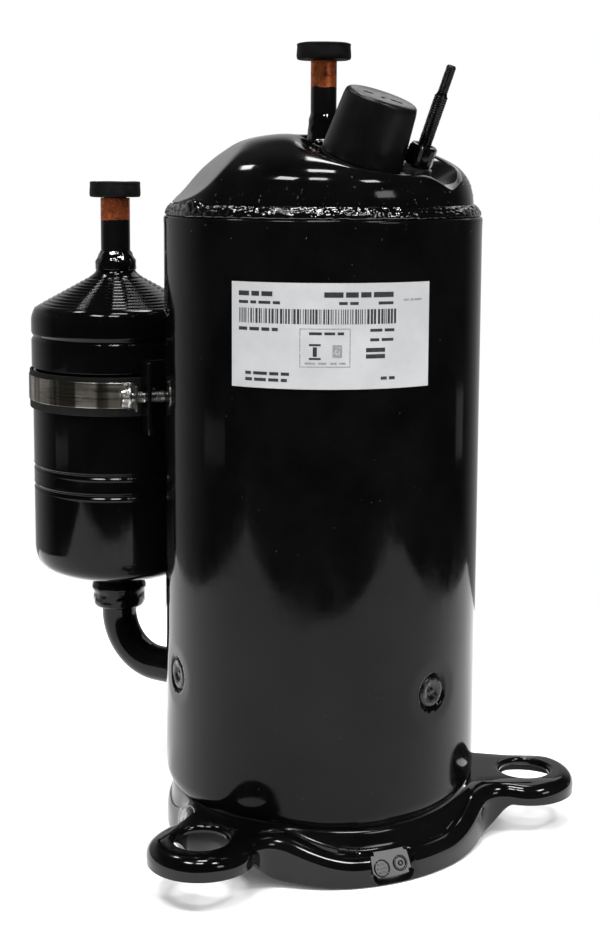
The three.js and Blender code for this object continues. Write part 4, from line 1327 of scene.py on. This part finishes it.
for mat, names in KEPT.items():
    for name in names:
        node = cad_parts[name]
        node.data.materials.clear()
        node.data.materials.append(mat)


# ---- stage: pale floor, soft light, camera
def floor_material():
    f = Finish("pale_floor")
    f.set(color=f.blend(f.map(f.noise(180, 2), 0.3, 0.7), (0.955, 0.955, 0.955), (0.975, 0.975, 0.975)), rough=0.95)
    return f.mat


floor_mesh = bpy.data.meshes.new("floor")
corners = ((-0.46, -0.38), (0.43, -0.38), (0.47, -0.28), (0.36, 0.28), (-0.36, 0.28))
floor_mesh.from_pydata([(x, y, -1e-4) for x, y in corners], [], [list(range(len(corners)))])
floor_mesh.materials.append(floor_material())
shown("floor", floor_mesh)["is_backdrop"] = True


def softbox(name, azimuth, elevation, distance, width, height, radiance, aim=0.14):
    """An area light aimed at the object; azimuth 0 is in front, positive to the viewer's right."""
    data = bpy.data.lights.new(name, "AREA")
    data.shape = "RECTANGLE"
    data.size, data.size_y = width, height
    data.energy = radiance * pi * width * height
    a, e = radians(azimuth), radians(elevation)
    target = Vector((AXIS.x * MM, 0, aim))
    away = Vector((sin(a) * cos(e), -cos(a) * cos(e), sin(e)))
    light = shown(name, data)
    light.location = target + away * distance
    light.rotation_mode = "QUATERNION"
    light.rotation_quaternion = away.to_track_quat("Z", "Y")
    light.visible_camera = False


softbox("key_left", -40, 60, 1.3, 0.26, 0.17, 44)
softbox("key_middle", -4, 62, 1.3, 0.22, 0.14, 44)
softbox("key_right", 50, 54, 1.3, 0.22, 0.16, 44)
softbox("key_top", 0, 85, 1.3, 0.26, 0.15, 44)
softbox("key_low", 48.5, 29.5, 1.2, 0.26, 0.20, 9, 0.006)
softbox("top_back", 172, 64, 1.4, 0.34, 0.16, 22)
softbox("back_right", 160, 34, 1.2, 0.70, 0.50, 1.6, 0.24)
softbox("back_left", -122, 56, 1.3, 0.22, 0.12, 30, 0.24)
softbox("glow_left", -78, -6, 0.6, 0.20, 0.03, 0.5, 0.12)
softbox("glow_right", 114, -5, 0.6, 0.10, 0.05, 0.5, 0.12)


def studio_world():
    """White where the camera looks, even light for matt surfaces, and for gloss a dark room with a bright back."""
    world = bpy.data.worlds.new("studio")
    bpy.context.scene.world = world
    world.use_nodes = True
    world.node_tree.nodes.clear()
    g = Graph(world.node_tree)
    split = g.add("SeparateXYZ", {0: g.add("TexCoord")["Generated"]})
    side = g.math("MULTIPLY_ADD", split["X"], -0.35, split["Y"])
    level = g.times(g.map(side, 0.2, 0.9, 0.02, 0.5), g.map(split["Z"], 0.34, 0.6, 1.0, 0.15))
    path = g.add("LightPath")
    for ray, strength in (("Is Diffuse Ray", 1.15), ("Is Camera Ray", 1.0)):
        level = g.blend(path[ray], level, strength)
    sky = g.add("Background", {"Strength": level, "Color": (1.0, 1.0, 1.0, 1.0)})
    g.add("OutputWorld", {"Surface": sky[0]})


studio_world()
bpy.context.scene.view_settings.view_transform = "Standard"

LENS_PX, LONG_SIDE = 1546, 933
yaw, pitch, roll = radians(-1.72), radians(7.21), radians(0.27)
camera_data = bpy.data.cameras.new("photo_camera")
camera_data.sensor_width = 36
camera_data.lens = LENS_PX / LONG_SIDE * 36
camera_data.shift_y = -0.107
camera = shown("photo_camera", camera_data)
ahead = Vector((sin(yaw) * cos(pitch), cos(yaw) * cos(pitch), -sin(pitch)))
right = Vector((cos(yaw), -sin(yaw), 0))
up = right.cross(ahead)
right, up = right * cos(roll) + up * sin(roll), up * cos(roll) - right * sin(roll)
turn = Matrix((right, up, -ahead)).transposed().to_4x4()
camera.matrix_world = Matrix.Translation(Vector((20.4, -577.7, 248.9)) * MM) @ turn
bpy.context.scene.camera = camera

boxes = {"cad": CAD_BOX, "visual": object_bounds()}
{key: [list(corner) for corner in pair] for key, pair in boxes.items()}
